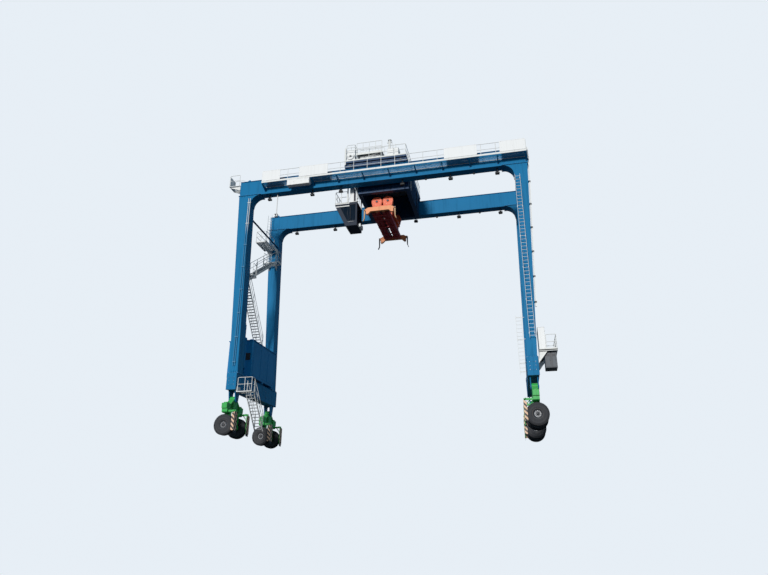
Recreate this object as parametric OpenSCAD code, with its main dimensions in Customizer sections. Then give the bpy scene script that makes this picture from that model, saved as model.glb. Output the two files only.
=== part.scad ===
// Rubber tyred gantry crane: two portal frames on eight steered tyres, a trolley with a
// hanging cab, and a telescoping container spreader on wire ropes.
// X runs across the container rows, Y along the crane's travel and Z up. The origin is on
// the ground, in the middle of the four corners.

/* [Portal] */
// Distance across the rows between the leg centres at their feet
span = 23470; // [20000:10:27000]
// Distance between the two portal frames
wheelbase = 7000; // [6800:10:7600]
// Height of the girders' underside
girder_z = 21450; // [20500:10:23000]
// Depth of a girder
girder_h = 1530; // [1300:10:1800]
// Width of a girder's box between its webs
girder_w = 620; // [500:10:680]
// How far a girder's flanges stand out beyond its webs
flange_out = 70; // [40:5:100]
// Thickness of a girder's flanges
flange_t = 30; // [20:2:50]
// How far a girder runs past the leg centre
girder_over = 1130; // [1000:10:1400]
// Width of a leg at its foot, across the rows
leg_foot_w = 740; // [600:10:900]
// Width of a leg at its head, across the rows
leg_head_w = 1100; // [900:10:1200]
// Depth of a leg along the travel
leg_d = 950; // [800:10:1050]
// Radius of the rounded knee between leg and girder
knee_r = 1000; // [700:10:1300]
// Thickness of the bolted leg flanges
leg_flange_t = 40; // [25:5:60]
// How far the bolted leg flanges stand out
leg_flange_out = 60; // [40:5:80]
// Height of the gussets at the leg flanges
gusset_h = 220; // [150:10:300]
// Thickness of the gussets and other stiffeners
rib_t = 20; // [12:1:30]
// Height of the sill beams' underside
sill_z = 3650; // [3600:10:3900]
// Depth of a sill beam
sill_h = 1350; // [1100:10:1500]
// Width of a sill beam
sill_w = 800; // [740:10:900]
// How far a sill beam runs past a leg's centre
sill_over = 650; // [600:10:800]
// Radius of the tie tubes between the legs
tie_r = 80; // [60:5:100]
// How far a tie tube's middle lies inside the legs' inner edge
tie_in = 120; // [110:5:160]
// Height of the tie tubes
tie_z = 19400; // [18800:10:20000]
// Height of the trolley rails
rail_h = 130; // [100:5:160]
// Width of a rail's foot
rail_foot = 150; // [120:5:170]
// Width of a rail's head
rail_head = 75; // [60:5:90]
// How far a rail stops short of the leg centres
rail_short = 500; // [400:10:600]
// Distance of the lifting lugs from the girder's ends
lug_in = 700; // [600:10:800]
// Height of a lifting lug's hole above the girder
lug_up = 180; // [170:5:200]
// Radius of a lifting lug round its hole
lug_r = 160; // [140:5:165]
// Radius of the hole in a lifting lug
lug_hole_r = 55; // [40:1:70]
// Thickness of a lifting lug
lug_t = 60; // [40:5:80]

/* [Walkways] */
// Height of the walkway floors beside the girders
walk_z = 22150; // [21900:10:22400]
// Width of the walkway floors
walk_w = 820; // [700:10:900]
// Thickness of a floor panel and its edge
floor_t = 50; // [40:5:80]
// Height of a handrail above its floor
rail_up = 1100; // [1000:10:1200]
// Radius of the handrail tubes
tube_r = 24; // [20:1:30]
// Distance between handrail posts on the walkways
post_step = 1200; // [1000:10:1500]
// How far the walkways stop short of the left leg centre
walk_in = 1335; // [1200:5:1500]
// How far the walkways run past the right leg centre
walk_out = 1065; // [900:5:1100]
// Height of the toe boards
toe_h = 120; // [100:5:150]
// Length of the platform on the left end of the near girder
end_len = 1050; // [900:10:1100]
// Width of that end platform
end_w = 1000; // [900:10:1100]
// Height of that end platform above the walkways
end_up = 400; // [350:10:500]
// Thickness of the sign boards
board_t = 30; // [20:1:40]
// Height of the sign boards
board_h = 1020; // [800:10:1100]
// Width of a floodlight
lamp_w = 460; // [380:10:500]
// Depth of a floodlight below the girder
lamp_drop = 560; // [500:10:620]

/* [Stairs] */
// Width of a stair between its stringers
stair_w = 640; // [560:10:700]
// Depth of a stringer
stringer_h = 200; // [160:10:240]
// Thickness of a stringer
stringer_t = 20; // [12:1:30]
// Height from tread to tread
riser = 210; // [190:5:240]
// Depth of a tread
tread = 240; // [200:5:260]
// How far the lower flight stands outside the leg centre
lower_out = 700; // [690:5:740]
// How far the upper flight stands inside the leg centre
upper_in = 20; // [10:5:60]
// Height of the lower landing, on the near leg
landing_1_z = 14000; // [13700:10:14200]
// Height of the middle landing, on the far leg
landing_2_z = 17500; // [17300:10:17700]
// Height of the upper landing, on the far leg
landing_3_z = 19200; // [18900:10:19250]
// Length of the lower landings along the travel
landing_len = 820; // [760:10:900]
// Length of the upper landing along the travel
top_landing_len = 2100; // [1900:10:2200]
// Width of a ladder between its stiles
ladder_w = 400; // [350:10:450]
// Distance from rung to rung
rung_step = 300; // [280:5:320]
// Radius of a rung
rung_r = 14; // [10:1:16]

/* [Houses] */
// Height of the power house on the left sill
house_h = 3350; // [3000:10:3500]
// Width of the power house across the rows
house_w = 2200; // [1900:10:2200]
// Height of the power house's floor above the sill
house_up = 180; // [150:10:250]
// Gap between the exhaust silencer and the power house
house_gap = 580; // [500:10:700]
// Distance between louvre blades
blade_step = 200; // [150:10:250]
// Radius of the exhaust silencer
silencer_r = 250; // [200:5:270]
// Length of the exhaust silencer
silencer_len = 2600; // [2200:10:2800]
// Radius of the exhaust pipe
exhaust_r = 110; // [80:5:130]
// Length of the exhaust pipe above the silencer
exhaust_len = 1150; // [1000:10:1300]
// Length of the platform outside the right legs
side_len = 3200; // [2800:10:3600]
// Width of the platform outside the right legs
side_w = 1430; // [1350:10:1500]
// Height of that platform above the sill
side_up = 500; // [450:10:550]
// Height of the electrical cabinet on that platform
cabinet_h = 1750; // [1600:10:1900]
// Length of the electrical cabinet along the travel
cabinet_len = 1800; // [1600:10:2000]

/* [Trolley] */
// Middle of the spreader across the rows at rest
hoist_x = 100; // [-200:10:400]
// Left end of the trolley frame
trolley_x0 = -2950; // [-3050:10:-2900]
// Right end of the trolley frame
trolley_x1 = 2650; // [2550:10:2700]
// Width of a trolley beam
beam_w = 420; // [340:10:460]
// Depth of a trolley beam
beam_h = 550; // [450:10:600]
// Radius of a trolley wheel
trolley_wheel_r = 315; // [280:5:320]
// Height of a trolley beam above the rail
carriage_gap = 120; // [110:5:150]
// How far the deck stands out beyond the rails
deck_out = 350; // [300:10:400]
// Height of the rope well's lower edge
well_z = 20950; // [20850:10:21200]
// Wall thickness of the rope well
well_t = 300; // [200:10:340]
// Half the length of the rope well along the travel
well_half_y = 2750; // [2700:10:2800]
// Height of the raised platform above the deck
raised_up = 800; // [700:10:900]
// Length of the raised platform
raised_len = 2400; // [2200:10:2500]
// Width of the raised platform
raised_w = 1200; // [1000:10:1250]
// Radius of the rope drum
drum_r = 400; // [340:5:440]
// Length of the rope drum
drum_len = 2300; // [2000:10:2500]
// Distance between the drum's rope grooves
groove_step = 100; // [80:5:120]
// Radius of the rope sheaves on the trolley
upper_sheave_r = 315; // [300:5:315]

/* [Cab] */
// Height of the cab's floor
cab_z = 17900; // [17800:10:18100]
// Height of the cab
cab_h = 2300; // [2200:10:2400]
// Width of the cab along the travel
cab_w = 1700; // [1500:10:1700]
// Wall thickness of the cab
cab_t = 60; // [50:5:80]
// Thickness of the cab's glass
glass_t = 12; // [8:1:16]
// Gap between the near girder and the cab
cab_gap = 290; // [285:5:320]
// Width of the cab's window posts
post_w = 150; // [120:10:200]

/* [Spreader] */
// Height of the spreader's end beams
end_z = 18750; // [18700:10:18900]
// Depth of an end beam
end_h = 600; // [500:10:640]
// Thickness of an end beam along the travel
end_t = 240; // [200:10:247]
// Distance between twistlock centres across the rows
lock_x = 2259; // [2259:1:2260]
// Distance between twistlock centres along the travel at 20 foot
lock_y = 5853; // [5853:1:5854]
// Radius of a twistlock shank
lock_r = 30; // [26:1:32]
// Length of a twistlock shank below the end beam
lock_len = 120; // [100:5:140]
// Width of a telescoping arm
arm_w = 220; // [180:5:240]
// Depth of a telescoping arm
arm_h = 300; // [260:5:320]
// Running clearance round a telescoping arm
arm_gap = 6; // [5:1:10]
// Wall thickness of the tubes that guide the arms
guide_t = 16; // [12:1:20]
// Half the length of the spreader's middle frame
main_half = 2680; // [2500:10:2700]
// Travel of each telescoping end, 20 to 40 foot
reach = 3050; // [2900:10:3100]
// Length of an arm still inside its guide at full reach
engaged = 1080; // [900:10:1200]
// Radius of a head block sheave housing
sheave_r = 480; // [420:5:490]
// Width of a head block sheave housing
sheave_w = 280; // [220:5:320]
// Radius of a hoist rope
rope_r = 14; // [11:1:18]
// Length of a flipper below its pivot
flipper_len = 1050; // [900:10:1150]
// Radius of a flipper's pivot pin
flipper_pin_r = 30; // [24:1:36]

/* [Running gear] */
// Radius of a tyre
tyre_r = 800; // [760:5:820]
// Width of a tyre
tyre_w = 500; // [440:5:520]
// Radius of a rim
rim_r = 330; // [300:5:360]
// Distance from a corner's pivot to each wheel along the travel
wheel_step = 1100; // [1080:5:1200]
// Height of the pivot between sill and bogie
pivot_z = 2950; // [2900:5:3050]
// Radius of the bogie's pivot pin
pivot_r = 110; // [90:5:130]
// Width of a bogie beam
bogie_w = 440; // [400:5:480]
// Height of a bogie beam's underside
bogie_z = 2050; // [2040:5:2100]
// Depth of a bogie beam at its ends
bogie_h = 400; // [340:5:440]
// Radius of a steering pin
king_r = 150; // [120:5:160]
// Radius of a wheel's axle
axle_r = 80; // [70:5:100]
// Running clearance of pins in their bores, on the radius
pin_gap = 0.08; // [0.04:0.01:0.1]
// Distance from the steering axis to the tyre guard
guard_x = 870; // [860:5:900]
// Thickness of the leg that carries a wheel
yoke_t = 200; // [160:5:220]
// Radius of a drive motor
motor_r = 130; // [110:5:140]

/* [Hidden] */
CORNERS = ["near_left", "near_right", "far_left", "far_right"];
ENDS = ["outer", "inner"];

paint_blue = [0.05, 0.42, 0.70];
paint_white = [0.92, 0.93, 0.92];
paint_green = [0.16, 0.52, 0.22];
paint_orange = [0.90, 0.32, 0.15];
paint_red = [0.48, 0.13, 0.12];
dark_blue = [0.07, 0.17, 0.28];
dark_grey = [0.13, 0.14, 0.16];
tyre_black = [0.07, 0.07, 0.08];
glass_dark = [0.10, 0.14, 0.18];
steel = [0.55, 0.57, 0.60];

half_span = span / 2;
frame_y = wheelbase / 2;
sill_top = sill_z + sill_h;
sill_half = frame_y + sill_over;
girder_top = girder_z + girder_h;
rail_top = girder_top + rail_h;
girder_half = half_span + girder_over;
girder_mid = (girder_z + girder_top) / 2;
flange_w = girder_w + 2 * flange_out;
leg_head_out = girder_over - 50;
leg_head_in = leg_head_w - leg_head_out;
leg_face = frame_y - leg_d / 2;
plate_half = leg_d / 2 + leg_flange_out;
// The 0.3 mm joint between a bolted piece and its seat
joint = 0.3;
steps = 48;

// Which way a corner lies: 1 on the right and -1 on the left
function side_x(corner) = corner == "near_left" || corner == "far_left" ? -1 : 1;
// Which way a corner lies: 1 far and -1 near
function side_y(corner) = corner == "far_left" || corner == "far_right" ? 1 : -1;
// Place of a leg's outer face at a height
function leg_out(z) = half_span + leg_foot_w / 2
    + (leg_head_out - leg_foot_w / 2) * (z - sill_top) / (girder_z - sill_top);
// Place of a leg's inner face at a height
function leg_in(z) = half_span - leg_foot_w / 2
    + (leg_foot_w / 2 - leg_head_in) * (z - sill_top) / (girder_z - knee_r - sill_top);

// A block between two corners
module block(low, high) {
    translate(low)
        cube(high - low);
}

// A flat outline in X and Z, given its thickness along Y about a middle
module plate_xz(y, t) {
    translate([0, y + t / 2, 0])
        rotate([90, 0, 0])
            linear_extrude(t)
                children();
}

// A flat outline in Y and Z, given its thickness along X about a middle
module plate_yz(x, t) {
    translate([x - t / 2, 0, 0])
        rotate([90, 0, 90])
            linear_extrude(t)
                children();
}

// A round bar from one end to the other along X, Y or Z
module bar_x(x0, x1, y, z, r, n = steps) {
    translate([x0, y, z])
        rotate([0, 90, 0])
            cylinder(h = x1 - x0, r = r, $fn = n);
}

module bar_y(x, y0, y1, z, r, n = steps) {
    translate([x, y1, z])
        rotate([90, 0, 0])
            cylinder(h = y1 - y0, r = r, $fn = n);
}

module bar_z(x, y, z0, z1, r, n = steps) {
    translate([x, y, z0])
        cylinder(h = z1 - z0, r = r, $fn = n);
}

// One handrail post of eight-sided tube, a little thinner than its rails
module post(x, y, z) {
    bar_z(x, y, z, z + rail_up, tube_r - 2, 8);
}

// Handrail along X: posts, a top rail and a knee rail
module handrail_x(x0, x1, y, z, step = post_step) {
    count = max(1, round((x1 - x0) / step));
    for (i = [0 : count])
        post(x0 + i * (x1 - x0) / count, y, z);
    for (h = [0.5, 1])
        bar_x(x0, x1, y, z + h * rail_up, tube_r, 8);
}

// Handrail along Y. Where it meets one along X at a corner, that one has the post
module handrail_y(x, y0, y1, z, step = post_step, first = 0, last = 0) {
    count = max(1, round((y1 - y0) / step));
    for (i = [first : count - last])
        post(x, y0 + i * (y1 - y0) / count, z);
    for (h = [0.5, 1])
        bar_y(x, y0, y1, z + h * rail_up, tube_r - 1, 8);
}

// A ladder facing Y: two flat stiles and round rungs
module ladder(x, y, z0, z1) {
    for (s = [-1, 1])
        block([x + s * ladder_w / 2 - 12, y - 30, z0], [x + s * ladder_w / 2 + 12, y + 30, z1]);
    for (z = [z0 + rung_step / 2 : rung_step : z1 - rung_step / 2])
        bar_x(x - ladder_w / 2 - 1, x + ladder_w / 2 + 1, y, z, rung_r, 8);
}

module lug_outline() {
    translate([-lug_r, girder_top - 1])
        square([2 * lug_r, lug_up + 1]);
    translate([0, girder_top + lug_up])
        circle(r = lug_r, $fn = steps);
}

module rail_outline() {
    web = rail_head * 0.45;
    foot = rail_h * 0.11;
    head = rail_h * 0.74;
    polygon([
        [-rail_foot / 2, 0], [rail_foot / 2, 0], [rail_foot / 2, foot], [web / 2, 2 * foot],
        [web / 2, head - foot / 2], [rail_head / 2, head], [rail_head / 2, rail_h],
        [-rail_head / 2, rail_h], [-rail_head / 2, head], [-web / 2, head - foot / 2],
        [-web / 2, 2 * foot], [-rail_foot / 2, foot]
    ]);
}

module girder(side) {
    y = side * frame_y;
    lug_x = girder_half - lug_in;
    color(paint_blue)
        difference() {
            union() {
                block([-girder_half, y - girder_w / 2, girder_z],
                      [girder_half, y + girder_w / 2, girder_top]);
                for (z = [girder_z, girder_top - flange_t])
                    block([-girder_half, y - flange_w / 2, z],
                          [girder_half, y + flange_w / 2, z + flange_t]);
                for (s = [-1, 1])
                    translate([s * lug_x, 0, 0])
                        plate_xz(y, lug_t)
                            lug_outline();
            }
            for (s = [-1, 1])
                bar_y(s * lug_x, y - lug_t, y + lug_t, girder_top + lug_up, lug_hole_r);
        }
    color(steel)
        translate([0, y, girder_top])
            rotate([90, 0, 90])
                linear_extrude(2 * (half_span - rail_short), center = true)
                    rail_outline();
}

// A leg tapers from its foot to its head, with a rounded knee under the girder
module leg_outline() {
    z0 = sill_top + leg_flange_t;
    z1 = girder_z - leg_flange_t;
    knee_x = leg_in(girder_z - knee_r);
    polygon([
        [leg_in(z0), z0], [leg_out(z0), z0], [leg_out(z1), z1],
        [knee_x, z1], [knee_x, girder_z - knee_r]
    ]);
    difference() {
        translate([knee_x - knee_r, girder_z - knee_r])
            square([knee_r, knee_r - leg_flange_t]);
        translate([knee_x - knee_r, girder_z - knee_r])
            circle(r = knee_r - leg_flange_t, $fn = 64);
    }
}

// The gussets that stiffen a flange on the near and far face of a leg
module gussets(x0, x1, y, z, up) {
    for (s = [-1, 1])
        for (k = [1 : 3])
            plate_yz(x0 + k * (x1 - x0) / 4, rib_t)
                polygon([
                    [y + s * (leg_d / 2 - 1), z], [y + s * plate_half, z],
                    [y + s * (leg_d / 2 - 1), z + up * gusset_h]
                ]);
}

module leg(corner) {
    y = side_y(corner) * frame_y;
    foot_z = sill_top + leg_flange_t;
    head_z = girder_z - leg_flange_t;
    knee_x = leg_in(girder_z - knee_r) - knee_r;
    mirror([side_x(corner) < 0 ? 1 : 0, 0, 0])
        color(paint_blue) {
            plate_xz(y, leg_d)
                leg_outline();
            block([leg_in(sill_top) - leg_flange_out, y - plate_half, sill_top],
                  [leg_out(sill_top) + leg_flange_out, y + plate_half, foot_z]);
            block([knee_x, y - plate_half, head_z], [girder_half, y + plate_half, girder_z]);
            gussets(leg_in(foot_z), leg_out(foot_z), y, foot_z - 1, 1);
            gussets(leg_in(head_z), leg_out(head_z), y, head_z + 1, -1);
        }
}

// The two ears under a sill that hold a bogie's pivot pin
module pivot_ears(x, y) {
    ear_t = pivot_r * 0.64;
    ear_r = pivot_r * 2.27;
    gap = bogie_w / 2 + 10;
    for (s = [-1, 1])
        plate_yz(x + s * (gap + ear_t / 2), ear_t) {
            translate([y, pivot_z])
                circle(r = ear_r, $fn = steps);
            polygon([
                [y - ear_r, pivot_z], [y + ear_r, pivot_z],
                [y + 1.6 * ear_r, sill_z + 1], [y - 1.6 * ear_r, sill_z + 1]
            ]);
        }
    bar_x(x - gap - ear_t, x + gap + ear_t, y, pivot_z, pivot_r);
}

// A sill beam with the bolting flanges for its legs and a plate on each end
module sill(side) {
    x = side * half_span;
    half_foot = leg_foot_w / 2 + leg_flange_out;
    color(paint_blue) {
        block([x - sill_w / 2, -sill_half, sill_z], [x + sill_w / 2, sill_half, sill_top]);
        for (s = [-1, 1]) {
            block([x - half_foot, s * frame_y - plate_half, sill_top - leg_flange_t],
                  [x + half_foot, s * frame_y + plate_half, sill_top]);
            block([x - sill_w / 2 - rib_t, s * sill_half - rib_t, sill_z - rib_t],
                  [x + sill_w / 2 + rib_t, s * sill_half + rib_t, sill_top]);
            pivot_ears(x, s * frame_y);
        }
    }
}

module tie_beams() {
    x = leg_in(tie_z) + tie_in;
    color(dark_blue)
        for (s = [-1, 1])
            bar_y(s * x, -leg_face, leg_face, tie_z, tie_r);
}

walk_x0 = -(half_span - walk_in);
walk_x1 = half_span + walk_out;
walk_y = frame_y + flange_w / 2 + walk_w;
brackets = round((walk_x1 - walk_x0) / (2 * post_step));

// Place of a walkway bracket along the girder
function bracket_x(i) = walk_x0 + toe_h / 2 + i * (walk_x1 - walk_x0 - toe_h) / brackets;

module walkway_side(side) {
    inner = frame_y + girder_w / 2;
    under = walk_z - floor_t;
    color(paint_white)
        scale([1, side, 1]) {
            block([walk_x0, inner, under], [walk_x1, walk_y, walk_z]);
            block([walk_x0, walk_y - 8, walk_z], [walk_x1, walk_y, walk_z + toe_h]);
            for (i = [0 : brackets])
                plate_yz(bracket_x(i), rib_t)
                    polygon([
                        [inner, under], [walk_y, under], [walk_y, under - walk_w / 10],
                        [inner, under - walk_w / 2]
                    ]);
        }
}

module end_platform() {
    x1 = -girder_half;
    x0 = x1 - end_len;
    y0 = -frame_y - end_w / 2;
    y1 = -frame_y + end_w / 2;
    z = walk_z + end_up;
    color(paint_white) {
        block([x0, y0, z], [x1, y1, z + floor_t]);
        block([x0, y0, z + floor_t - 1], [x0 + 30, y1, z + rail_up]);
        for (y = [y0 + tube_r, y1 - tube_r])
            handrail_x(x0 + 60, x1 - tube_r, y, z + floor_t - 1);
    }
}

module walkways() {
    walkway_side(-1);
    walkway_side(1);
    end_platform();
}

module walkway_rail(side) {
    color(paint_white)
        handrail_x(walk_x0 + tube_r, walk_x1 - tube_r, side * (walk_y - 40), walk_z + joint);
}

// Left and right end of each sign board, as shares of half the span
BOARDS = [[-0.884, -0.737], [-0.585, -0.358], [0.515, 0.750], [0.908, 1.087]];

module sign_boards() {
    y = -(walk_y - 40) - tube_r - joint;
    z = walk_z + toe_h + 10;
    color(paint_white)
        for (b = BOARDS)
            block([b[0] * half_span, y - board_t, z], [b[1] * half_span, y, z + board_h]);
}

// The cable box under the near walkway and the camera's pole under the near girder
module girder_fittings() {
    box_w = walk_w / 2;
    pole_x = -0.79 * half_span;
    color(paint_white)
        block([bracket_x(1) + 80, -walk_y + 10, walk_z - floor_t - 550],
              [bracket_x(2) - 160, -walk_y + 10 + box_w, walk_z - floor_t - joint]);
    color(dark_grey) {
        bar_z(pole_x, -frame_y, tie_z, girder_z - joint, 45, 12);
        block([pole_x - 140, -frame_y - 110, tie_z - 220], [pole_x + 140, -frame_y + 110, tie_z + 1]);
    }
}

roof_t = 60;
house_top = sill_top + house_h;
silencer_y = -leg_face + 60 + silencer_r;
house_x = -half_span + sill_w / 2 + 150;
house_y0 = silencer_y + silencer_r + house_gap;
house_y1 = leg_face - 60;
house_z = sill_top + house_up;

// One louvre of the power house: slanted blades in a recess
module louvre(y0, y1) {
    for (z = [house_z + 300 : blade_step : house_top - 600])
        plate_xz((y0 + y1) / 2, y1 - y0 + 2)
            polygon([
                [house_x - 61, z + 90], [house_x - 61, z + 102],
                [house_x - 4, z + 42], [house_x - 4, z + 30]
            ]);
}

module power_house() {
    gap = 300;
    louvre_len = (house_y1 - house_y0 - 4 * gap) / 3;
    foot = 180;
    color(dark_blue) {
        difference() {
            block([house_x - house_w, house_y0, house_z], [house_x, house_y1, house_top - roof_t + 1]);
            for (i = [0 : 2])
                block([house_x - 60, house_y0 + gap + i * (louvre_len + gap), house_z + 250],
                      [house_x + 1, house_y0 + (i + 1) * (louvre_len + gap), house_top - 450]);
        }
        for (i = [0 : 2])
            louvre(house_y0 + gap + i * (louvre_len + gap), house_y0 + (i + 1) * (louvre_len + gap));
        block([house_x - house_w - 60, house_y0 - 60, house_top - roof_t],
              [house_x + 60, house_y1 + 40, house_top]);
        for (y = [house_y0 + gap, (house_y0 + house_y1 - foot) / 2, house_y1 - gap - foot])
            block([house_x - house_w, y, sill_top], [house_x, y + foot, house_z + 1]);
    }
}

module silencer() {
    x = -half_span + 60;
    z0 = sill_top + 700;
    z1 = z0 + silencer_len;
    color(dark_blue) {
        bar_z(x, silencer_y, z0, z1, silencer_r);
        for (z = [z0 + 150, (z0 + z1) / 2, z1 - 210])
            bar_z(x, silencer_y, z, z + 60, silencer_r + 15);
        for (s = [-1, 1])
            block([x - silencer_r * 0.8, silencer_y + s * silencer_r * 0.6 - 20, sill_top],
                  [x + silencer_r * 0.8, silencer_y + s * silencer_r * 0.6 + 20, z0 + 1]);
    }
    color(paint_white) {
        bar_z(x, silencer_y, z1 - 1, z1 + exhaust_len, exhaust_r);
        bar_z(x, silencer_y, z1 - 1, z1 + 40, exhaust_r + 50);
    }
}

// The platform outside the right legs, with its electrical cabinet
module side_platform() {
    x0 = half_span + sill_w / 2 + joint;
    x1 = x0 + side_w;
    y0 = -sill_half + 2 * rib_t;
    y1 = y0 + side_len;
    z = sill_top + side_up;
    floor_x = x0 + 150;
    cabinet_x = floor_x + 490;
    color(paint_white) {
        block([floor_x, y0, z - 120], [x1, y1, z]);
        for (y = [y0 + tube_r, y1 - tube_r])
            handrail_x(cabinet_x + tube_r, x1 - tube_r, y, z - 1, 500);
        handrail_y(x1 - tube_r, y0 + tube_r, y1 - tube_r, z - 1, 800, 1, 1);
    }
    color(dark_blue)
        block([floor_x + 20, y0 + 200, z - 1], [cabinet_x, y0 + 200 + cabinet_len, z + cabinet_h]);
    color(dark_grey) {
        block([floor_x + 350, y0 + 300, z - 1300], [x1 - 100, y0 + 1500, z - 119]);
        for (y = [y0 + 120, y1 - 120])
            plate_xz(y, 100)
                polygon([
                    [x0, sill_top - 160], [x0, sill_top - 500], [floor_x + 550, z - 119],
                    [floor_x, z - 119], [floor_x - 70, sill_top - 160]
                ]);
    }
}

lower_x = -(half_span + lower_out);
upper_x = -(half_span - upper_in);
access_x = -(half_span - 1350);
landing_y = leg_face - joint;
landing_edge = landing_y - landing_len;
landing_x0 = lower_x - stair_w / 2 - 110;
landing_x1 = upper_x + stair_w / 2 + 110;
top_x0 = -(half_span + 1465);
top_x1 = top_x0 + 1050;
top_ladder_x = -(half_span + 1020);

// One flight in the plane of Y and Z: two stringers, treads and a rail on each side
module flight(x, y0, z0, y1, z1) {
    count = max(2, round((z1 - z0) / riser));
    going = (y1 - y0) / count;
    rise = (z1 - z0) / count;
    depth = sign(y1 - y0) * tread;
    for (side = [-1, 1]) {
        px = x + side * (stair_w + stringer_t) / 2;
        plate_yz(px, stringer_t)
            polygon([
                [y0, z0 - stringer_h], [y1, z1 - stringer_h], [y1, z1], [y0, z0]
            ]);
        for (t = [0.08, 0.36, 0.64, 0.92])
            bar_z(px, y0 + t * (y1 - y0), z0 + t * (z1 - z0) - 60,
                  z0 + t * (z1 - z0) + rail_up, tube_r - 2, 8);
        for (h = [0.5, 1])
            plate_yz(px, 1.6 * tube_r)
                polygon([
                    [y0, z0 + h * rail_up - tube_r], [y1, z1 + h * rail_up - tube_r],
                    [y1, z1 + h * rail_up + tube_r], [y0, z0 + h * rail_up + tube_r]
                ]);
    }
    for (i = [0 : count - 1])
        block([x - stair_w / 2 - 1, min(y0 + i * going, y0 + i * going + depth), z0 + i * rise - 60],
              [x + stair_w / 2 + 1, max(y0 + i * going, y0 + i * going + depth), z0 + i * rise - 30]);
}

module stair_flights() {
    color(paint_white) {
        flight(lower_x, landing_edge - 100, house_top + stringer_h,
               -landing_edge + joint, landing_1_z);
        flight(upper_x, -landing_edge - 200, landing_1_z + stringer_h,
               landing_edge - joint, landing_2_z);
        flight(access_x, -1250, 900, -frame_y + 100 + joint, sill_z - 140);
    }
}

// A landing on a leg: its floor, two brackets below and a rail along each side
module landing(x0, x1, length, z, side) {
    color(paint_white)
        scale([1, side, 1]) {
            block([x0, landing_y - length, z - 80], [x1, landing_y, z]);
            for (x = [-leg_out(z) + 150, -leg_in(z) - 150])
                plate_yz(x, rib_t)
                    polygon([
                        [landing_y, z - 79], [landing_y, z - 600],
                        [landing_y - length + 60, z - 140], [landing_y - length + 60, z - 79]
                    ]);
            for (x = [x0 + tube_r, x1 - tube_r])
                handrail_y(x, landing_y - length + 60, landing_y - 60, z - 1, 800);
        }
}

module stair_landings() {
    shelf_x = -half_span + sill_w / 2 + joint;
    landing(landing_x0, landing_x1, landing_len, landing_1_z, -1);
    landing(landing_x0, landing_x1, landing_len, landing_2_z, 1);
    landing(top_x0, top_x1, top_landing_len, landing_3_z, 1);
    color(paint_white) {
        handrail_x(top_x0 + tube_r, top_x1 - tube_r, landing_y - top_landing_len + 30, landing_3_z - 1);
        ladder(lower_x, landing_y - 330, landing_2_z - 1, landing_3_z - 79);
        ladder(top_ladder_x, landing_y - 230, landing_3_z - 1, girder_top + 70);
        for (s = [-1, 1])
            for (z = [landing_3_z + 1500, girder_z + 5])
                block([top_ladder_x + s * ladder_w / 2 - 12, landing_y - 201, z],
                      [top_ladder_x + s * ladder_w / 2 + 12,
                       z > girder_z ? frame_y - flange_w / 2 - joint : landing_y, z + 20]);
        block([shelf_x, -frame_y - 500, sill_z - 200],
              [access_x + stair_w / 2 + 60, -frame_y + 100, sill_z - 140]);
        block([shelf_x, -frame_y - 500, sill_z - 141], [shelf_x + 60, -frame_y + 100, sill_z + 250]);
    }
}

// The long ladder on the near right leg's near face, and the short one inside that leg
module leg_ladder() {
    x = half_span + 165;
    y = -frame_y - leg_d / 2 - 300;
    z0 = sill_top + 1400;
    z1 = girder_z - 1200;
    inner_x = half_span - leg_foot_w / 2 - 350;
    color(paint_white) {
        ladder(x, y, z0, z1);
        for (z = [z0 + 400 : 2650 : z1])
            for (s = [-1, 1])
                block([x + s * ladder_w / 2 - 8, y + 29, z],
                      [x + s * ladder_w / 2 + 8, -frame_y - leg_d / 2 - joint, z + 60]);
        ladder(inner_x, -frame_y, sill_z + 250, sill_top + 3400);
        for (z = [sill_z + 400, sill_top - 300])
            for (s = [-1, 1])
                block([inner_x + s * ladder_w / 2 - 12, -frame_y - 20, z],
                      [half_span - sill_w / 2 - joint, -frame_y + 20, z + 40]);
        for (z = [sill_top + 1500, sill_top + 3200])
            block([inner_x - ladder_w / 2, -frame_y - 20, z],
                  [leg_in(z) - joint, -frame_y + 20, z + 40]);
    }
}

// Places of the floodlights and the work lights, as shares of half the span
LAMPS = [-0.852, -0.507, -0.281, 0.191, 0.547, 0.881];
SMALL_LAMPS = [0.366, 0.716];

// A lamp on its stem: the housing narrows towards its top
module lamp(x, y, size) {
    z = girder_z - lamp_drop * size;
    bar_z(x, y, z + lamp_drop * size * 0.3, girder_z - joint, 40, 12);
    plate_xz(y, lamp_w * size * 0.87)
        polygon([
            [x - lamp_w * size / 2, z], [x + lamp_w * size / 2, z],
            [x + lamp_w * size / 2, z + lamp_drop * size * 0.2],
            [x + lamp_w * size / 4, z + lamp_drop * size * 0.46],
            [x - lamp_w * size / 4, z + lamp_drop * size * 0.46],
            [x - lamp_w * size / 2, z + lamp_drop * size * 0.2]
        ]);
}

module floodlights() {
    color(dark_grey)
        for (side = [-1, 1]) {
            for (x = LAMPS)
                lamp(x * half_span, side * frame_y, 1);
            for (x = SMALL_LAMPS)
                lamp(x * half_span, side * frame_y, 0.5);
        }
}

// A flat duct beside a leg's sloping edge, straight up beside the girder's end, with its clamps
module edge_duct() {
    z0 = sill_top + 4000;
    z1 = girder_top + 200;
    head = leg_out(girder_z);
    plate_xz(0, 110)
        polygon([
            [leg_out(z0) + 60, z0], [leg_out(z0) + 170, z0], [head + 170, girder_z],
            [head + 170, z1], [head + 60, z1], [head + 60, girder_z]
        ]);
    for (z = [z0 + 300 : 2100 : girder_z - 400])
        block([leg_out(z + 120) + joint, -80, z], [leg_out(z) + 190, 80, z + 120]);
    block([girder_half + joint, -80, girder_mid], [head + 190, 80, girder_mid + 120]);
}

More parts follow.
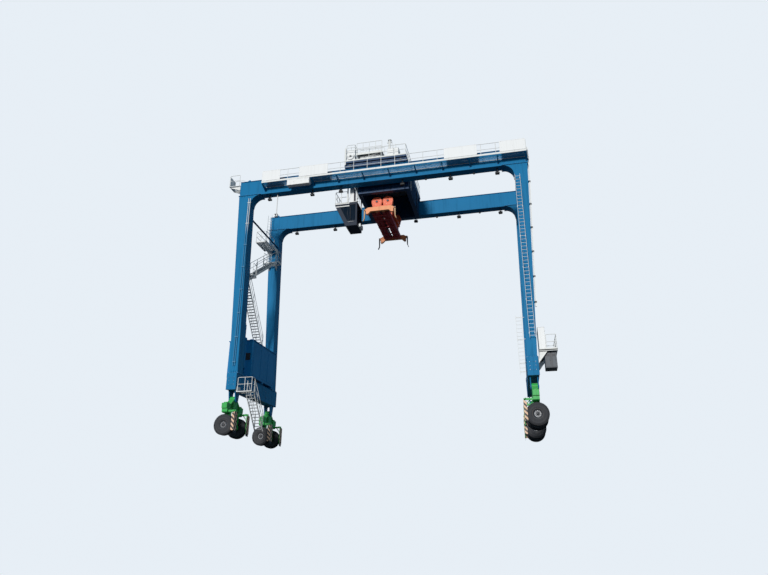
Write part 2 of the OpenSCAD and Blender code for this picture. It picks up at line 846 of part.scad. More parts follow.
module cable_conduit() {
    pipe_r = 32;
    pipe_y = -frame_y - leg_d / 2 - pipe_r - 20;
    pipe_z = sill_top + 600;
    color(paint_white)
        translate([0, -frame_y, 0])
            edge_duct();
    color(dark_grey) {
        for (x = [-half_span - 80, -half_span + 80])
            bar_z(x, pipe_y, pipe_z, girder_z - 400, pipe_r, 12);
        for (z = [pipe_z + 300 : 2100 : girder_z - 600])
            block([-half_span - 150, pipe_y - pipe_r - 10, z],
                  [-half_span + 150, -frame_y - leg_d / 2 - joint, z + 60]);
    }
}

carriage_z = rail_top + carriage_gap;
deck_z = carriage_z + beam_h;
deck_top = deck_z + floor_t;
raised_z = deck_z + raised_up;
well_x0 = trolley_x0 + 1050;
deck_y = frame_y + deck_out;
trolley_rail_y = deck_y - 40;
wheel_mid = rail_top + joint + trolley_wheel_r;

// A trolley wheel: the tread on the rail and a flange on each side of it
module trolley_wheel(x, y) {
    tread_w = rail_head * 1.6;
    bar_y(x, y - tread_w / 2, y + tread_w / 2, wheel_mid, trolley_wheel_r);
    for (s = [-1, 1])
        bar_y(x, min(y + s * 50, y + s * 85), max(y + s * 50, y + s * 85), wheel_mid,
              trolley_wheel_r + 22);
    bar_y(x, y - beam_w / 2 + 20, y + beam_w / 2 + 60, wheel_mid, 110);
}

module trolley_frame() {
    color(paint_blue) {
        for (s = [-1, 1]) {
            block([trolley_x0, s * frame_y - beam_w / 2, carriage_z],
                  [trolley_x1, s * frame_y + beam_w / 2, deck_z]);
            for (x = [trolley_x0 + 500, trolley_x1 - 500])
                trolley_wheel(x, s * frame_y);
            for (x = [trolley_x0 + 60, trolley_x1 - 60])
                bar_x(x - 120, x + 120, s * frame_y, carriage_z + beam_h / 2, 90);
        }
        for (x = [trolley_x0, well_x0, trolley_x1 - beam_w])
            block([x, -frame_y, carriage_z], [x + beam_w, frame_y, deck_z]);
    }
}

module rope_well() {
    color(dark_grey)
        difference() {
            block([well_x0, -well_half_y, well_z], [trolley_x1, well_half_y, carriage_z - joint]);
            block([well_x0 + well_t, -well_half_y + well_t, well_z - 1],
                  [trolley_x1 - well_t, well_half_y - well_t, carriage_z + 1]);
        }
}

sheave_x = 500;
sheave_y = 1800;
rope_x = upper_sheave_r + rope_r + joint;
upper_sheave_z = deck_top + 420;
ROPES = [for (sy = [-1, 1]) for (sx = [-1, 1]) for (k = [-1, 1])
    [hoist_x + sx * sheave_x + k * rope_x, sy * sheave_y]];

raised_x0 = trolley_x0 + 1050;
raised_y0 = -trolley_rail_y + 60;

module trolley_deck() {
    x1 = raised_x0 + raised_len;
    y1 = raised_y0 + raised_w;
    color(paint_white) {
        difference() {
            block([trolley_x0, -deck_y, deck_z], [trolley_x1, deck_y, deck_top]);
            for (s = [-1, 1])
                block([hoist_x - 2 * sheave_x, s * sheave_y - 60, deck_z - 1],
                      [hoist_x + 2 * sheave_x, s * sheave_y + 60, deck_top + 1]);
        }
        block([raised_x0, raised_y0, raised_z - floor_t], [x1, y1, raised_z]);
        for (x = [raised_x0 + 60, x1 - 60])
            for (y = [raised_y0 + 60, y1 - 60])
                block([x - 40, y - 40, deck_top - 1], [x + 40, y + 40, raised_z - floor_t + 1]);
    }
}

module trolley_handrail() {
    z = deck_top + joint;
    color(paint_white) {
        for (s = [-1, 1])
            handrail_x(trolley_x0 + 40, trolley_x1 - 40, s * trolley_rail_y, z);
        for (x = [trolley_x0 + 40, trolley_x1 - 40])
            handrail_y(x, -trolley_rail_y, trolley_rail_y, z, post_step, 1, 1);
        for (y = [raised_y0 + 40, raised_y0 + raised_w - 40])
            handrail_x(raised_x0 + 40, raised_x0 + raised_len - 40, y, raised_z + joint, 600);
    }
}

// One rope sheave on the trolley, with its bearing plates
module upper_sheave(x, y) {
    rim = upper_sheave_r + 50;
    bar_y(x, y - 25, y + 25, upper_sheave_z, upper_sheave_r);
    for (s = [-1, 1]) {
        bar_y(x, min(y + s * 20, y + s * 45), max(y + s * 20, y + s * 45), upper_sheave_z, rim);
        plate_xz(y + s * 90, 40)
            polygon([
                [x - 200, deck_top + joint], [x + 200, deck_top + joint],
                [x + 90, upper_sheave_z + 120], [x - 90, upper_sheave_z + 120]
            ]);
    }
    bar_y(x, y - 111, y + 111, upper_sheave_z, 60);
}

// The rope drum's outline: a groove for each turn of rope
module drum_outline() {
    turns = floor(drum_len / groove_step);
    polygon(concat(
        [[0, -drum_len / 2]],
        [for (i = [0 : turns - 1]) for (k = [0 : 3])
            [drum_r - (k == 0 || k == 3 ? 0 : 22),
             -drum_len / 2 + (i + [0.08, 0.3, 0.7, 0.92][k]) * drum_len / turns]],
        [[0, drum_len / 2]]
    ));
}

module hoist_machinery() {
    z = deck_top + drum_r + 150;
    end = drum_len / 2;
    box_x = hoist_x + end + 230;
    color(dark_grey) {
        translate([hoist_x, 0, z])
            rotate([0, 90, 0])
                rotate_extrude($fn = steps)
                    drum_outline();
        for (s = [-1, 1]) {
            bar_x(hoist_x + s * end - 25, hoist_x + s * end + 25, 0, z, drum_r + 80);
            plate_yz(hoist_x + s * (end + 150), 160)
                polygon([
                    [-350, deck_top + joint], [350, deck_top + joint], [160, z + 200], [-160, z + 200]
                ]);
        }
        bar_x(hoist_x - end - 150, hoist_x + end + 150, 0, z, 90);
        for (sx = [-1, 1])
            for (sy = [-1, 1])
                upper_sheave(hoist_x + sx * sheave_x, sy * sheave_y);
    }
    color(steel) {
        plate_yz(box_x + 200, 401)
            polygon([
                [-450, deck_top + joint], [1050, deck_top + joint], [1050, z], [900, z + 150],
                [300, z + 330], [-300, z + 330], [-450, z + 150]
            ]);
        bar_x(box_x - 900, box_x + 1, 750, z - 100, 230);
        bar_x(box_x - 1000, box_x - 899, 750, z - 100, 190);
        block([box_x - 800, 600, deck_top + joint], [box_x - 150, 900, z - 250]);
    }
}

// The cabinets on the trolley: place, length, width and height as shares of the deck's size
CABINETS = [
    [0.02, 0.03, 0.14, 0.12, 1250], [0.24, 0.05, 0.33, 0.09, 550],
    [0.69, 0.03, 0.18, 0.11, 900], [0.05, 0.66, 0.21, 0.24, 1300]
];

module trolley_cabinets() {
    z = deck_top + joint;
    long = trolley_x1 - trolley_x0;
    wide = 2 * deck_y;
    mast_x = trolley_x0 + 0.72 * long;
    color(paint_white)
        for (c = CABINETS) {
            x = trolley_x0 + c[0] * long;
            y = -deck_y + c[1] * wide;
            block([x, y, z], [x + c[2] * long, y + c[3] * wide, z + c[4]]);
            block([x - 20, y - 20, z + c[4] - 1],
                  [x + c[2] * long + 20, y + c[3] * wide + 20, z + c[4] + 30]);
        }
    color(steel) {
        bar_z(mast_x, -deck_y + 0.08 * wide, z + 929, z + 2050, 60, 12);
        block([mast_x - 150, -deck_y + 0.08 * wide - 150, z + 2049],
              [mast_x + 150, -deck_y + 0.08 * wide + 150, z + 2079]);
    }
}

cab_x0 = hoist_x - 4100;
cab_x1 = hoist_x - 2080;
cab_slope = 1000;
cab_floor_x = cab_x0 + cab_slope;
cab_y0 = -frame_y + flange_w / 2 + cab_gap;
cab_y1 = cab_y0 + cab_w;
cab_mid = (cab_y0 + cab_y1) / 2;
cab_top = cab_z + cab_h;
brow_z = cab_top - 200;

// The cab's side outline, taken in by a wall thickness
module cab_outline(t = 0) {
    polygon([
        [cab_floor_x + t, cab_z + t], [cab_x1 - t, cab_z + t], [cab_x1 - t, cab_top - t],
        [cab_x0 + t, cab_top - t], [cab_x0 + t, brow_z]
    ]);
}

// The outline of a cab side window
module side_window() {
    polygon([
        [cab_floor_x + post_w, cab_z + 500], [cab_x1 - post_w, cab_z + 500],
        [cab_x1 - post_w, cab_top - 250], [cab_floor_x - 600, cab_top - 250]
    ]);
}

// A band along the cab's sloping front, between two depths behind its face
module front_band(d0, d1) {
    low = 0.08;
    high = 0.97;
    polygon([for (p = [[low, d0], [high, d0], [high, d1], [low, d1]])
        [cab_floor_x - p[0] * cab_slope + p[1], cab_z + p[0] * (brow_z - cab_z)]]);
}

module cab() {
    color(dark_grey)
        difference() {
            plate_xz(cab_mid, cab_w)
                cab_outline();
            plate_xz(cab_mid, cab_w - 2 * cab_t)
                cab_outline(cab_t);
            plate_xz(cab_mid, cab_w + 2)
                side_window();
            plate_xz(cab_mid, cab_w - 2 * post_w)
                front_band(-20, 2 * cab_t);
            block([cab_x1 - cab_t - 1, cab_y0 + post_w, cab_z + 400],
                  [cab_x1 + 1, cab_y1 - post_w, cab_top - 250]);
        }
}

module cab_glass() {
    color(glass_dark) {
        for (y = [cab_y0 + cab_t / 2, cab_y1 - cab_t / 2])
            plate_xz(y, glass_t)
                side_window();
        plate_xz(cab_mid, cab_w - 2 * post_w)
            front_band(cab_t / 2, cab_t / 2 + glass_t);
        block([cab_x1 - cab_t / 2 - glass_t / 2, cab_y0 + post_w, cab_z + 400],
              [cab_x1 - cab_t / 2 + glass_t / 2, cab_y1 - post_w, cab_top - 250]);
    }
}

// The balcony on the cab's roof and the four hangers that carry both
module cab_balcony() {
    z = cab_top + joint;
    top = z + floor_t;
    hanger = 100;
    locker_x = cab_x0 + 1350;
    color(paint_white) {
        block([cab_x0, cab_y0, z], [cab_x1, cab_y1, top]);
        handrail_x(cab_x0 + tube_r, cab_floor_x, cab_y0 + tube_r, top - 1, 500);
        handrail_y(cab_x0 + tube_r, cab_y0 + tube_r, cab_y1 - tube_r, top - 1, 800, 1);
        block([locker_x, cab_y0 + 60, top - 1], [locker_x + 350, cab_y0 + 600, z + 1500]);
        for (y = [cab_y0 + 20, cab_y1 - 20 - hanger]) {
            block([trolley_x0 + 40, y, top - 1],
                  [trolley_x0 + 40 + hanger, y + hanger, carriage_z - joint]);
            block([cab_x1 - hanger, y, top - 1], [cab_x1, y + hanger, deck_z - joint]);
        }
    }
}

sheave_z = 20480;
head_z = 19750;
head_beam_h = 260;
head_beam_x = 700;
head_post_y = 1400;
guide_w = arm_w + 2 * arm_gap + 2 * guide_t;
guide_h = arm_h + 2 * arm_gap + 2 * guide_t;
guide_z = end_z + 340;
guide_top = guide_z + guide_h / 2;
arm_near_x = 300;
arm_far_x = 640;
arm_back = main_half - engaged - reach;
lock_half_x = lock_x / 2;
lock_half_y = lock_y / 2;
end_half = lock_half_x + 90;
flipper_x = end_half + 110;
flipper_z = end_z + 400;

module hoist_ropes() {
    color(steel)
        for (p = ROPES)
            bar_z(p[0], p[1], sheave_z, upper_sheave_z, rope_r, 8);
}

// A head block sheave in its round housing, open above for the two ropes
module sheave_housing(x, y) {
    difference() {
        union() {
            bar_y(x, y - sheave_w / 2, y + sheave_w / 2, sheave_z, sheave_r);
            plate_xz(y, sheave_w)
                polygon([
                    [x - sheave_r * 0.8, head_z + head_beam_h],
                    [x + sheave_r * 0.8, head_z + head_beam_h],
                    [x + sheave_r * 0.92, sheave_z - 180], [x - sheave_r * 0.92, sheave_z - 180]
                ]);
            bar_y(x, y - sheave_w / 2 - 30, y + sheave_w / 2 + 30, sheave_z, 110);
        }
        for (j = [-1, 1])
            block([x + j * rope_x - 40, y - 40, sheave_z],
                  [x + j * rope_x + 40, y + 40, sheave_z + sheave_r + 20]);
    }
}

module head_block() {
    half = sheave_y + sheave_w / 2 + 10;
    color(paint_orange) {
        for (s = [-1, 1]) {
            block([hoist_x + s * head_beam_x - 130, -half, head_z],
                  [hoist_x + s * head_beam_x + 130, half, head_z + head_beam_h]);
            block([hoist_x - head_beam_x - 130, s * sheave_y - 160, head_z],
                  [hoist_x + head_beam_x + 130, s * sheave_y + 160, head_z + head_beam_h + 40]);
            for (k = [-1, 1]) {
                sheave_housing(hoist_x + k * sheave_x, s * sheave_y);
                block([hoist_x + k * head_beam_x - 90, s * head_post_y - 90, guide_top],
                      [hoist_x + k * head_beam_x + 90, s * head_post_y + 90, head_z + 1]);
            }
        }
    }
}

module spreader_main() {
    pad_y = main_half - 200;
    color(paint_red) {
        difference() {
            for (k = [-1, 1])
                for (x = [arm_near_x, arm_far_x])
                    block([hoist_x + k * x - guide_w / 2, -main_half, guide_z - guide_h / 2],
                          [hoist_x + k * x + guide_w / 2, main_half, guide_top]);
            for (k = [-1, 1])
                for (x = [arm_near_x, arm_far_x])
                    block([hoist_x + k * x - arm_w / 2 - arm_gap, -main_half - 1,
                           guide_z - arm_h / 2 - arm_gap],
                          [hoist_x + k * x + arm_w / 2 + arm_gap, main_half + 1,
                           guide_z + arm_h / 2 + arm_gap]);
        }
        for (k = [-1, 1])
            for (j = [-1, 1])
                for (x = [arm_near_x, arm_far_x])
                    block([hoist_x + k * x - arm_w / 2, j * pad_y - 150,
                           guide_z - arm_h / 2 - arm_gap - 1],
                          [hoist_x + k * x + arm_w / 2, j * pad_y + 150,
                           guide_z - arm_h / 2 - joint]);
        for (y = [-2200, -head_post_y, 0, head_post_y, 2200])
            block([hoist_x - arm_far_x - guide_w / 2, y - 90, guide_z - guide_h / 2 - 60],
                  [hoist_x + arm_far_x + guide_w / 2, y + 90, guide_z - guide_h / 2 + 1]);
    }
}

// The outline of an end beam: deep between its arms and tapered to the corner castings
module end_beam_outline() {
    slope_x = arm_far_x + arm_w / 2 + 60;
    low = end_z + end_h * 0.36;
    casting = end_half - 200;
    polygon([
        [-end_half, end_z], [-casting, end_z], [-slope_x, low], [slope_x, low], [casting, end_z],
        [end_half, end_z], [end_half, end_z + end_h * 0.8], [casting, end_z + end_h],
        [-casting, end_z + end_h], [-end_half, end_z + end_h * 0.8]
    ]);
}

// One telescoping end: an end beam, two arms and the flippers' ears and pins
module spreader_end(side) {
    arm_x = side < 0 ? arm_near_x : arm_far_x;
    color(paint_orange)
        scale([1, side, 1]) {
            translate([hoist_x, 0, 0])
                plate_xz(lock_half_y, end_t)
                    end_beam_outline();
            for (k = [-1, 1]) {
                block([hoist_x + k * arm_x - arm_w / 2, arm_back, guide_z - arm_h / 2],
                      [hoist_x + k * arm_x + arm_w / 2, lock_half_y, guide_z + arm_h / 2]);
                bar_z(hoist_x + k * lock_half_x, lock_half_y, end_z - lock_len, end_z + 1, lock_r);
                for (j = [-1, 1])
                    plate_xz(lock_half_y + j * 90, 25)
                        translate([hoist_x + k * flipper_x, flipper_z]) {
                            circle(r = 80, $fn = steps);
                            translate([k > 0 ? -120 : 0, -80])
                                square([120, 160]);
                        }
                bar_y(hoist_x + k * flipper_x, lock_half_y - 100, lock_half_y + 100, flipper_z,
                      flipper_pin_r);
            }
        }
}

// A gather guide: a hub on its pin, a straight blade and a tip turned outwards
module flipper(corner) {
    k = side_x(corner);
    y = side_y(corner) * lock_half_y;
    bend = flipper_len - 250;
    translate([hoist_x + k * flipper_x, y, flipper_z])
        color(paint_orange)
            difference() {
                union() {
                    bar_y(0, -70, 70, 0, 75);
                    scale([k, 1, 1])
                        plate_xz(0, 140)
                            polygon([
                                [-40, 0], [75, 0], [75, -bend], [170, -flipper_len],
                                [110, -flipper_len], [0, -bend]
                            ]);
                }
                bar_y(0, -100, 100, 0, flipper_pin_r + pin_gap);
            }
}

bogie_top = bogie_z + bogie_h;

// Half of a bogie beam's side: level over the wheel, rising to the pivot
module bogie_outline() {
    hub = pivot_r + 120;
    end = wheel_step + 330;
    polygon([
        [-end, bogie_z], [end, bogie_z], [end, bogie_top], [wheel_step - 300, bogie_top],
        [hub, pivot_z], [-hub, pivot_z], [-wheel_step + 300, bogie_top], [-end, bogie_top]
    ]);
    translate([0, pivot_z])
        circle(r = hub, $fn = steps);
}

module bogie(corner) {
    x = side_x(corner) * half_span;
    y = side_y(corner) * frame_y;
    web = bogie_w / 2 - 70;
    color(paint_green)
        translate([x, y, 0])
            difference() {
                union() {
                    plate_yz(0, bogie_w)
                        bogie_outline();
                    for (s = [-1, 1])
                        bar_z(0, s * wheel_step, bogie_z, bogie_top, king_r + 100);
                }
                for (s = [-1, 1]) {
                    bar_z(0, s * wheel_step, bogie_z - 1, bogie_top + 1, king_r + pin_gap);
                    for (k = [-1, 1])
                        plate_yz(k * (web + 50), 100)
                            polygon([
                                [s * (wheel_step - king_r - 160), bogie_z + 60],
                                [s * (wheel_step - king_r - 160), bogie_top - 20],
                                [s * 320, pivot_z - 300], [s * 320, bogie_z + 60]
                            ]);
                }
                bar_x(-bogie_w, bogie_w, 0, pivot_z, pivot_r + pin_gap);
            }
}

// The yoke that reaches over a tyre and down beside it, seen along the axle and from the side
module yoke(arm_z, leg_y) {
    out = leg_y + yoke_t;
    intersection() {
        plate_yz(0, 600)
            polygon([
                [-230, arm_z + 60], [-140, arm_z], [leg_y, arm_z], [leg_y, tyre_r - 260],
                [out, tyre_r - 260], [out, bogie_z - 130], [out - 120, bogie_z - 10],
                [-230, bogie_z - 10]
            ]);
        translate([0, 0, tyre_r])
            rotate([90, 0, 0])
                linear_extrude(4 * yoke_t + 1200, center = true) {
                    polygon([
                        [-230, bogie_z - tyre_r], [-230, arm_z - tyre_r - 60], [-190, 0],
                        [190, 0], [230, arm_z - tyre_r - 60], [230, bogie_z - tyre_r]
                    ]);
                    circle(r = 190, $fn = steps);
                }
    }
}

// The drive on an outer pod: the gear case at the hub and the motor that stands on it
module wheel_drive(out) {
    case_z = tyre_r + 320;
    motor_y = out + motor_r + 30;
    plate_yz(0, 260)
        polygon([
            [out - 1, tyre_r - 170], [out + 150, tyre_r - 170], [motor_y + motor_r + 20, tyre_r + 60],
            [motor_y + motor_r + 20, case_z], [out - 1, case_z]
        ]);
    bar_z(0, motor_y, case_z - 1, case_z + 60, motor_r + 15);
    bar_z(0, motor_y, case_z + 59, bogie_z - 180, motor_r);
    bar_z(0, motor_y, bogie_z - 181, bogie_z - 120, motor_r + 10);
}

// A steering pod holds one wheel from the side that faces the bogie's middle
module pod(corner, end) {
    x = side_x(corner) * half_span;
    way = side_y(corner) * (end == "outer" ? 1 : -1);
    y = side_y(corner) * frame_y + way * wheel_step;
    arm_z = bogie_z - 320;
    leg_y = tyre_w / 2 + 50;
    out = leg_y + yoke_t;
    color(paint_green)
        translate([x, y, 0])
            scale([side_x(corner), -way, 1]) {
                bar_z(0, 0, arm_z + 10, bogie_top + 80, king_r);
                bar_z(0, 0, bogie_top + 5, bogie_top + 80, king_r + 60);
                bar_z(0, 0, bogie_z - 60, bogie_z - 5, king_r + 90);
                yoke(arm_z, leg_y);
                bar_y(0, leg_y, out + 40, tyre_r, 250);
                bar_y(0, -tyre_w / 2 + 60, leg_y + 1, tyre_r, axle_r);
                if (end == "outer")
                    wheel_drive(out);
                else
                    bar_y(0, out + 39, out + 90, tyre_r, 150);
                block([-guard_x, -60, arm_z + 60], [-229, 60, arm_z + 200]);
                plate_xz(0, tyre_w * 0.92)
                    polygon([
                        [-guard_x - 20, tyre_r - 450], [-guard_x, tyre_r - 450], [-guard_x, arm_z + 40],
                        [-guard_x + 140, arm_z + 190], [-guard_x + 140, arm_z + 215],
                        [-guard_x - 20, arm_z + 50]
                    ]);
            }
}

// A tyre on its rim in half section: three grooves round the tread and a dished rim
module tyre_outline() {
    shoulder = 60;
    deep = 25;
    dish = tyre_w * 0.3;
    rings = [for (g = [-0.25, 0, 0.25]) for (k = [-1, 1]) for (d = (k < 0 ? [0, deep] : [deep, 0]))
        [tyre_r - d, g * tyre_w + k * 18]];
    polygon(concat(
        [[axle_r + pin_gap, -dish], [rim_r - 60, -dish], [rim_r, -tyre_w * 0.42],
         [rim_r + 60, -tyre_w / 2], [tyre_r - shoulder * 2, -tyre_w / 2],
         [tyre_r, -tyre_w / 2 + shoulder]],
        rings,
        [[tyre_r, tyre_w / 2 - shoulder], [tyre_r - shoulder * 2, tyre_w / 2],
         [rim_r + 60, tyre_w / 2], [rim_r, tyre_w * 0.42], [rim_r - 60, dish],
         [axle_r + pin_gap, dish]]
    ));
}

module wheel(corner, end) {
    x = side_x(corner) * half_span;
    way = side_y(corner) * (end == "outer" ? 1 : -1);
    color(tyre_black)
        translate([x, side_y(corner) * frame_y + way * wheel_step, tyre_r])
            rotate([90, 0, 0])
                rotate_extrude($fn = 96)
                    tyre_outline();
}

girder(-1);  // girder_near
girder(1);  // girder_far
for (c = CORNERS)
    leg(c);
sill(-1);  // sill_left
sill(1);  // sill_right
tie_beams();
walkways();
walkway_rail(-1);  // handrail_near
walkway_rail(1);  // handrail_far
sign_boards();
girder_fittings();
power_house();
silencer();
side_platform();
stair_flights();
stair_landings();
leg_ladder();
floodlights();
cable_conduit();
trolley_frame();
rope_well();
trolley_deck();
trolley_handrail();
hoist_machinery();
trolley_cabinets();
cab();
cab_glass();
cab_balcony();
hoist_ropes();
head_block();
spreader_main();
spreader_end(-1);  // spreader_near
spreader_end(1);  // spreader_far
for (c = CORNERS)
    flipper(c);
for (c = CORNERS)
    bogie(c);
for (c = CORNERS, e = ENDS)
    pod(c, e);
for (c = CORNERS, e = ENDS)
    wheel(c, e);
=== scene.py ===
"""Looks of a rubber tyred gantry crane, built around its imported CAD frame. All lengths in metres."""
import math

import bpy
from mathutils import Matrix, Vector


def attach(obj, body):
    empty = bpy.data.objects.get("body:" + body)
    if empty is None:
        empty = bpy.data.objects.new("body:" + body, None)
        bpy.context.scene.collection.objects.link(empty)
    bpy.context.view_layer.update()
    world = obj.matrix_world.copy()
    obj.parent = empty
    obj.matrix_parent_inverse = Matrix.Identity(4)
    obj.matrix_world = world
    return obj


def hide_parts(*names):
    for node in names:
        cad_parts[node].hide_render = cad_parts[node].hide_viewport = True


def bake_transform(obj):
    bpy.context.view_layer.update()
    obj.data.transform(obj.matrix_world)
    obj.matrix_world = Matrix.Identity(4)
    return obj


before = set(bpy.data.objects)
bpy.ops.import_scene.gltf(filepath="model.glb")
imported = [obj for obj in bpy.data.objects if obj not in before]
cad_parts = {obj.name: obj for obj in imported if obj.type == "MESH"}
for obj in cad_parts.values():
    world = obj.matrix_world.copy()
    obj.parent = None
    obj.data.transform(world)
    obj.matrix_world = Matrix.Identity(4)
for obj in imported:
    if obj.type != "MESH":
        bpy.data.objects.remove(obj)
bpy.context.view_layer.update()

CORNERS = {"near_left": (-1, -1), "near_right": (1, -1), "far_left": (-1, 1), "far_right": (1, 1)}
BOTH = (-1, 1)
SIGNS = [(a, b) for a in BOTH for b in BOTH]
UP, DOWN, NEAR, FAR, LEFT, RIGHT = (0, 0, 1), (0, 0, -1), (0, -1, 0), (0, 1, 0), (-1, 0, 0), (1, 0, 0)
HALF_SPAN = 11.735
FRAME_Y = 3.5
GIRDER_Z = 21.45
GIRDER_TOP = 22.98
RAIL_TOP = 23.11
GIRDER_HALF = 12.865
LEG_D = 0.95
SILL_TOP = 5.0
SILL_HALF = 4.15
WALK_Z = 22.15
RAIL_UP = 1.1
TUBE = 0.024
TYRE_R = 0.8
TYRE_W = 0.5
BOGIE_Z = 2.05
HOIST_X = 0.1
SHEAVE_Z = 20.48
FLIPPER_X = 1.3295
FLIPPER_Z = 19.15
END_BEAM_Y = 2.9265


# Selecting and shaping, as by hand. Each new part goes into PARTS, until fitted() joins them.

PARTS = []
PATTERNS = []


def deselect():
    """Select nothing."""
    bpy.ops.object.select_all(action="DESELECT")


def pick(part):
    """Make one object the selected and active one."""
    deselect()
    part.select_set(True)
    bpy.context.view_layer.objects.active = part


def settled():
    """Put the active object's place, turn and size into its mesh."""
    part = bpy.context.object
    pick(part)
    bpy.ops.object.transform_apply(location=True, rotation=True, scale=True)
    return part


def modified(part, kind, **settings):
    """Add a modifier to a part and apply it."""
    change = part.modifiers.new("change", kind)
    for key, value in settings.items():
        setattr(change, key, value)
    pick(part)
    bpy.ops.object.modifier_apply(modifier=change.name)
    return part


def soften(part, edge, steps=1):
    """Round a part's edges."""
    return modified(part, "BEVEL", width=edge, segments=steps, limit_method="ANGLE", angle_limit=math.radians(35))


def made(part, finish, edge=0.0, steps=1):
    """Give a new part its finish, round its edges and put it into PARTS."""
    part.data.materials.clear()
    part.data.materials.append(finish)
    if edge:
        soften(part, edge, steps)
    PARTS.append(part)
    return part


def repeat(part, count, step):
    """Copies of a part in a row, a step apart."""
    return modified(part, "ARRAY", count=count, use_relative_offset=False, use_constant_offset=True,
                    constant_offset_displace=step)


def block(low, high, finish, edge=0.0, steps=1):
    """A solid block between two corners, in any order, its edges rounded."""
    low, high = (Vector(map(pick_of, low, high)) for pick_of in (min, max))
    deselect()
    bpy.ops.mesh.primitive_cube_add(size=1, location=(low + high) / 2)
    bpy.context.object.scale = high - low
    return made(settled(), finish, edge, steps)


def slab(middle, half, finish, edge=0.0, steps=1):
    """A block round its middle, half its size each way."""
    return block([m - h for m, h in zip(middle, half)], [m + h for m, h in zip(middle, half)], finish, edge, steps)


def rod(start, end, radius, finish, sides=16, edge=0.0):
    """A round bar from one point to another."""
    start, end = Vector(start), Vector(end)
    way = end - start
    deselect()
    bpy.ops.mesh.primitive_cylinder_add(vertices=sides, radius=radius, depth=way.length, location=(start + end) / 2)
    bpy.context.object.rotation_mode = "QUATERNION"
    bpy.context.object.rotation_quaternion = way.to_track_quat("Z", "Y")
    return made(settled(), finish, edge, 2)


def post(x, y, low, high, radius, finish, sides=16, edge=0.0):
    """An upright round bar."""
    return rod((x, y, low), (x, y, high), radius, finish, sides, edge)


def tubes(paths, radius, finish, sides=8, closed=False):
    """Bent tubes along lists of points, made as a curve and turned into a mesh."""
    curve = bpy.data.curves.new("tubes", "CURVE")
    curve.dimensions = "3D"
    curve.bevel_depth = radius
    curve.bevel_resolution = max(0, sides // 2 - 2)
    curve.use_fill_caps = True
    for path in paths:
        line = curve.splines.new("POLY")
        line.points.add(len(path) - 1)
        for point, place in zip(line.points, path):
            point.co = (*place, 1)
        line.use_cyclic_u = closed
    part = bpy.data.objects.new("tubes", curve)
    bpy.context.scene.collection.objects.link(part)
    pick(part)
    bpy.ops.object.convert(target="MESH")
    return made(bpy.context.object, finish)


def bend_corners(path, r=0.07):
    """A path with each of its corners cut by two short bends."""
    path = [Vector(p) for p in path]
    bent = [path[0]]
    for before, here, after in zip(path, path[1:], path[2:]):
        back = (before - here).normalized()
        on = (after - here).normalized()
        bent += [here + back * r, here + (back + on) * r * 0.3, here + on * r]
    return bent + [path[-1]]


def grip(start, out, along, bend, radius, finish):
    """A bar bent out, along and back again, as a handle or a guard."""
    start, out, along = Vector(start), Vector(out), Vector(along)
    tubes([bend_corners([start, start + out, start + out + along, start + along], bend)], radius, finish)


def plate(outline, thick, place, finish, edge=0.0):
    """A flat plate: an outline of two numbers a point, in the plane 'xz', 'yz' or 'xy' that place
    names, with the middle of its thickness at place's number."""
    plane, middle = place
    normal = Vector({"xz": FAR, "yz": RIGHT, "xy": UP}[plane])
    deselect()
    bpy.ops.mesh.primitive_circle_add(vertices=len(outline), radius=1, fill_type="NGON")
    part = settled()
    for vert, (u, v) in zip(part.data.vertices, outline):
        flat = {"xz": (u, 0, v), "yz": (0, u, v), "xy": (u, v, 0)}[plane]
        vert.co = Vector(flat) + normal * (middle - thick / 2)
    bpy.ops.object.mode_set(mode="EDIT")
    bpy.ops.mesh.select_all(action="SELECT")
    bpy.ops.mesh.extrude_region_move(TRANSFORM_OT_translate={"value": normal * thick})
    bpy.ops.mesh.select_all(action="SELECT")
    bpy.ops.mesh.normals_make_consistent(inside=False)
    bpy.ops.object.mode_set(mode="OBJECT")
    return made(part, finish, edge)


def turned(profile, middle, axis, finish, steps=32):
    """A part turned on a lathe: a profile of (radius, along) points spun round an axis."""
    axis, middle = Vector(axis), Vector(middle)
    out = axis.orthogonal().normalized()
    points = [middle + out * r + axis * a for r, a in profile]
    deselect()
    bpy.ops.mesh.primitive_plane_add(size=1, location=points[0])
    part = settled()
    bpy.ops.object.mode_set(mode="EDIT")
    bpy.ops.mesh.select_all(action="SELECT")
    bpy.ops.mesh.merge(type="CENTER")
    for a, b in zip(points, points[1:]):
        bpy.ops.mesh.extrude_vertices_move(TRANSFORM_OT_translate={"value": b - a})
    bpy.ops.mesh.select_all(action="SELECT")
    bpy.ops.mesh.spin(steps=steps, angle=2 * math.pi, center=middle, axis=axis)
    bpy.ops.mesh.select_all(action="SELECT")
    bpy.ops.mesh.remove_doubles(threshold=0.0002)
    bpy.ops.mesh.normals_make_consistent(inside=False)
    bpy.ops.object.mode_set(mode="OBJECT")
    return made(part, finish)


def inset_side(part, facing, rim, depth):
    """Press a panel into the faces that look one way, leaving a rim."""
    pick(part)
    for face in part.data.polygons:
        face.select = face.normal.dot(Vector(facing)) > 0.95
    for bit in (*part.data.edges, *part.data.vertices):
        bit.select = False
    bpy.ops.object.mode_set(mode="EDIT")
    bpy.ops.mesh.select_mode(type="FACE")
    bpy.ops.mesh.inset(thickness=rim, depth=0)
    bpy.ops.mesh.inset(thickness=depth * 0.6, depth=-depth)
    bpy.ops.mesh.select_mode(type="VERT")
    bpy.ops.object.mode_set(mode="OBJECT")
    return part


def copied(part, matrix):
    """A copy of a part with its own mesh, moved or turned."""
    other = part.copy()
    other.data = part.data.copy()
    other.data.transform(matrix)
    if matrix.is_negative:
        other.data.flip_normals()
    bpy.context.scene.collection.objects.link(other)
    PARTS.append(other)
    return other


def moved(part, x, y, z):
    """A copy of a part, moved."""
    return copied(part, Matrix.Translation((x, y, z)))


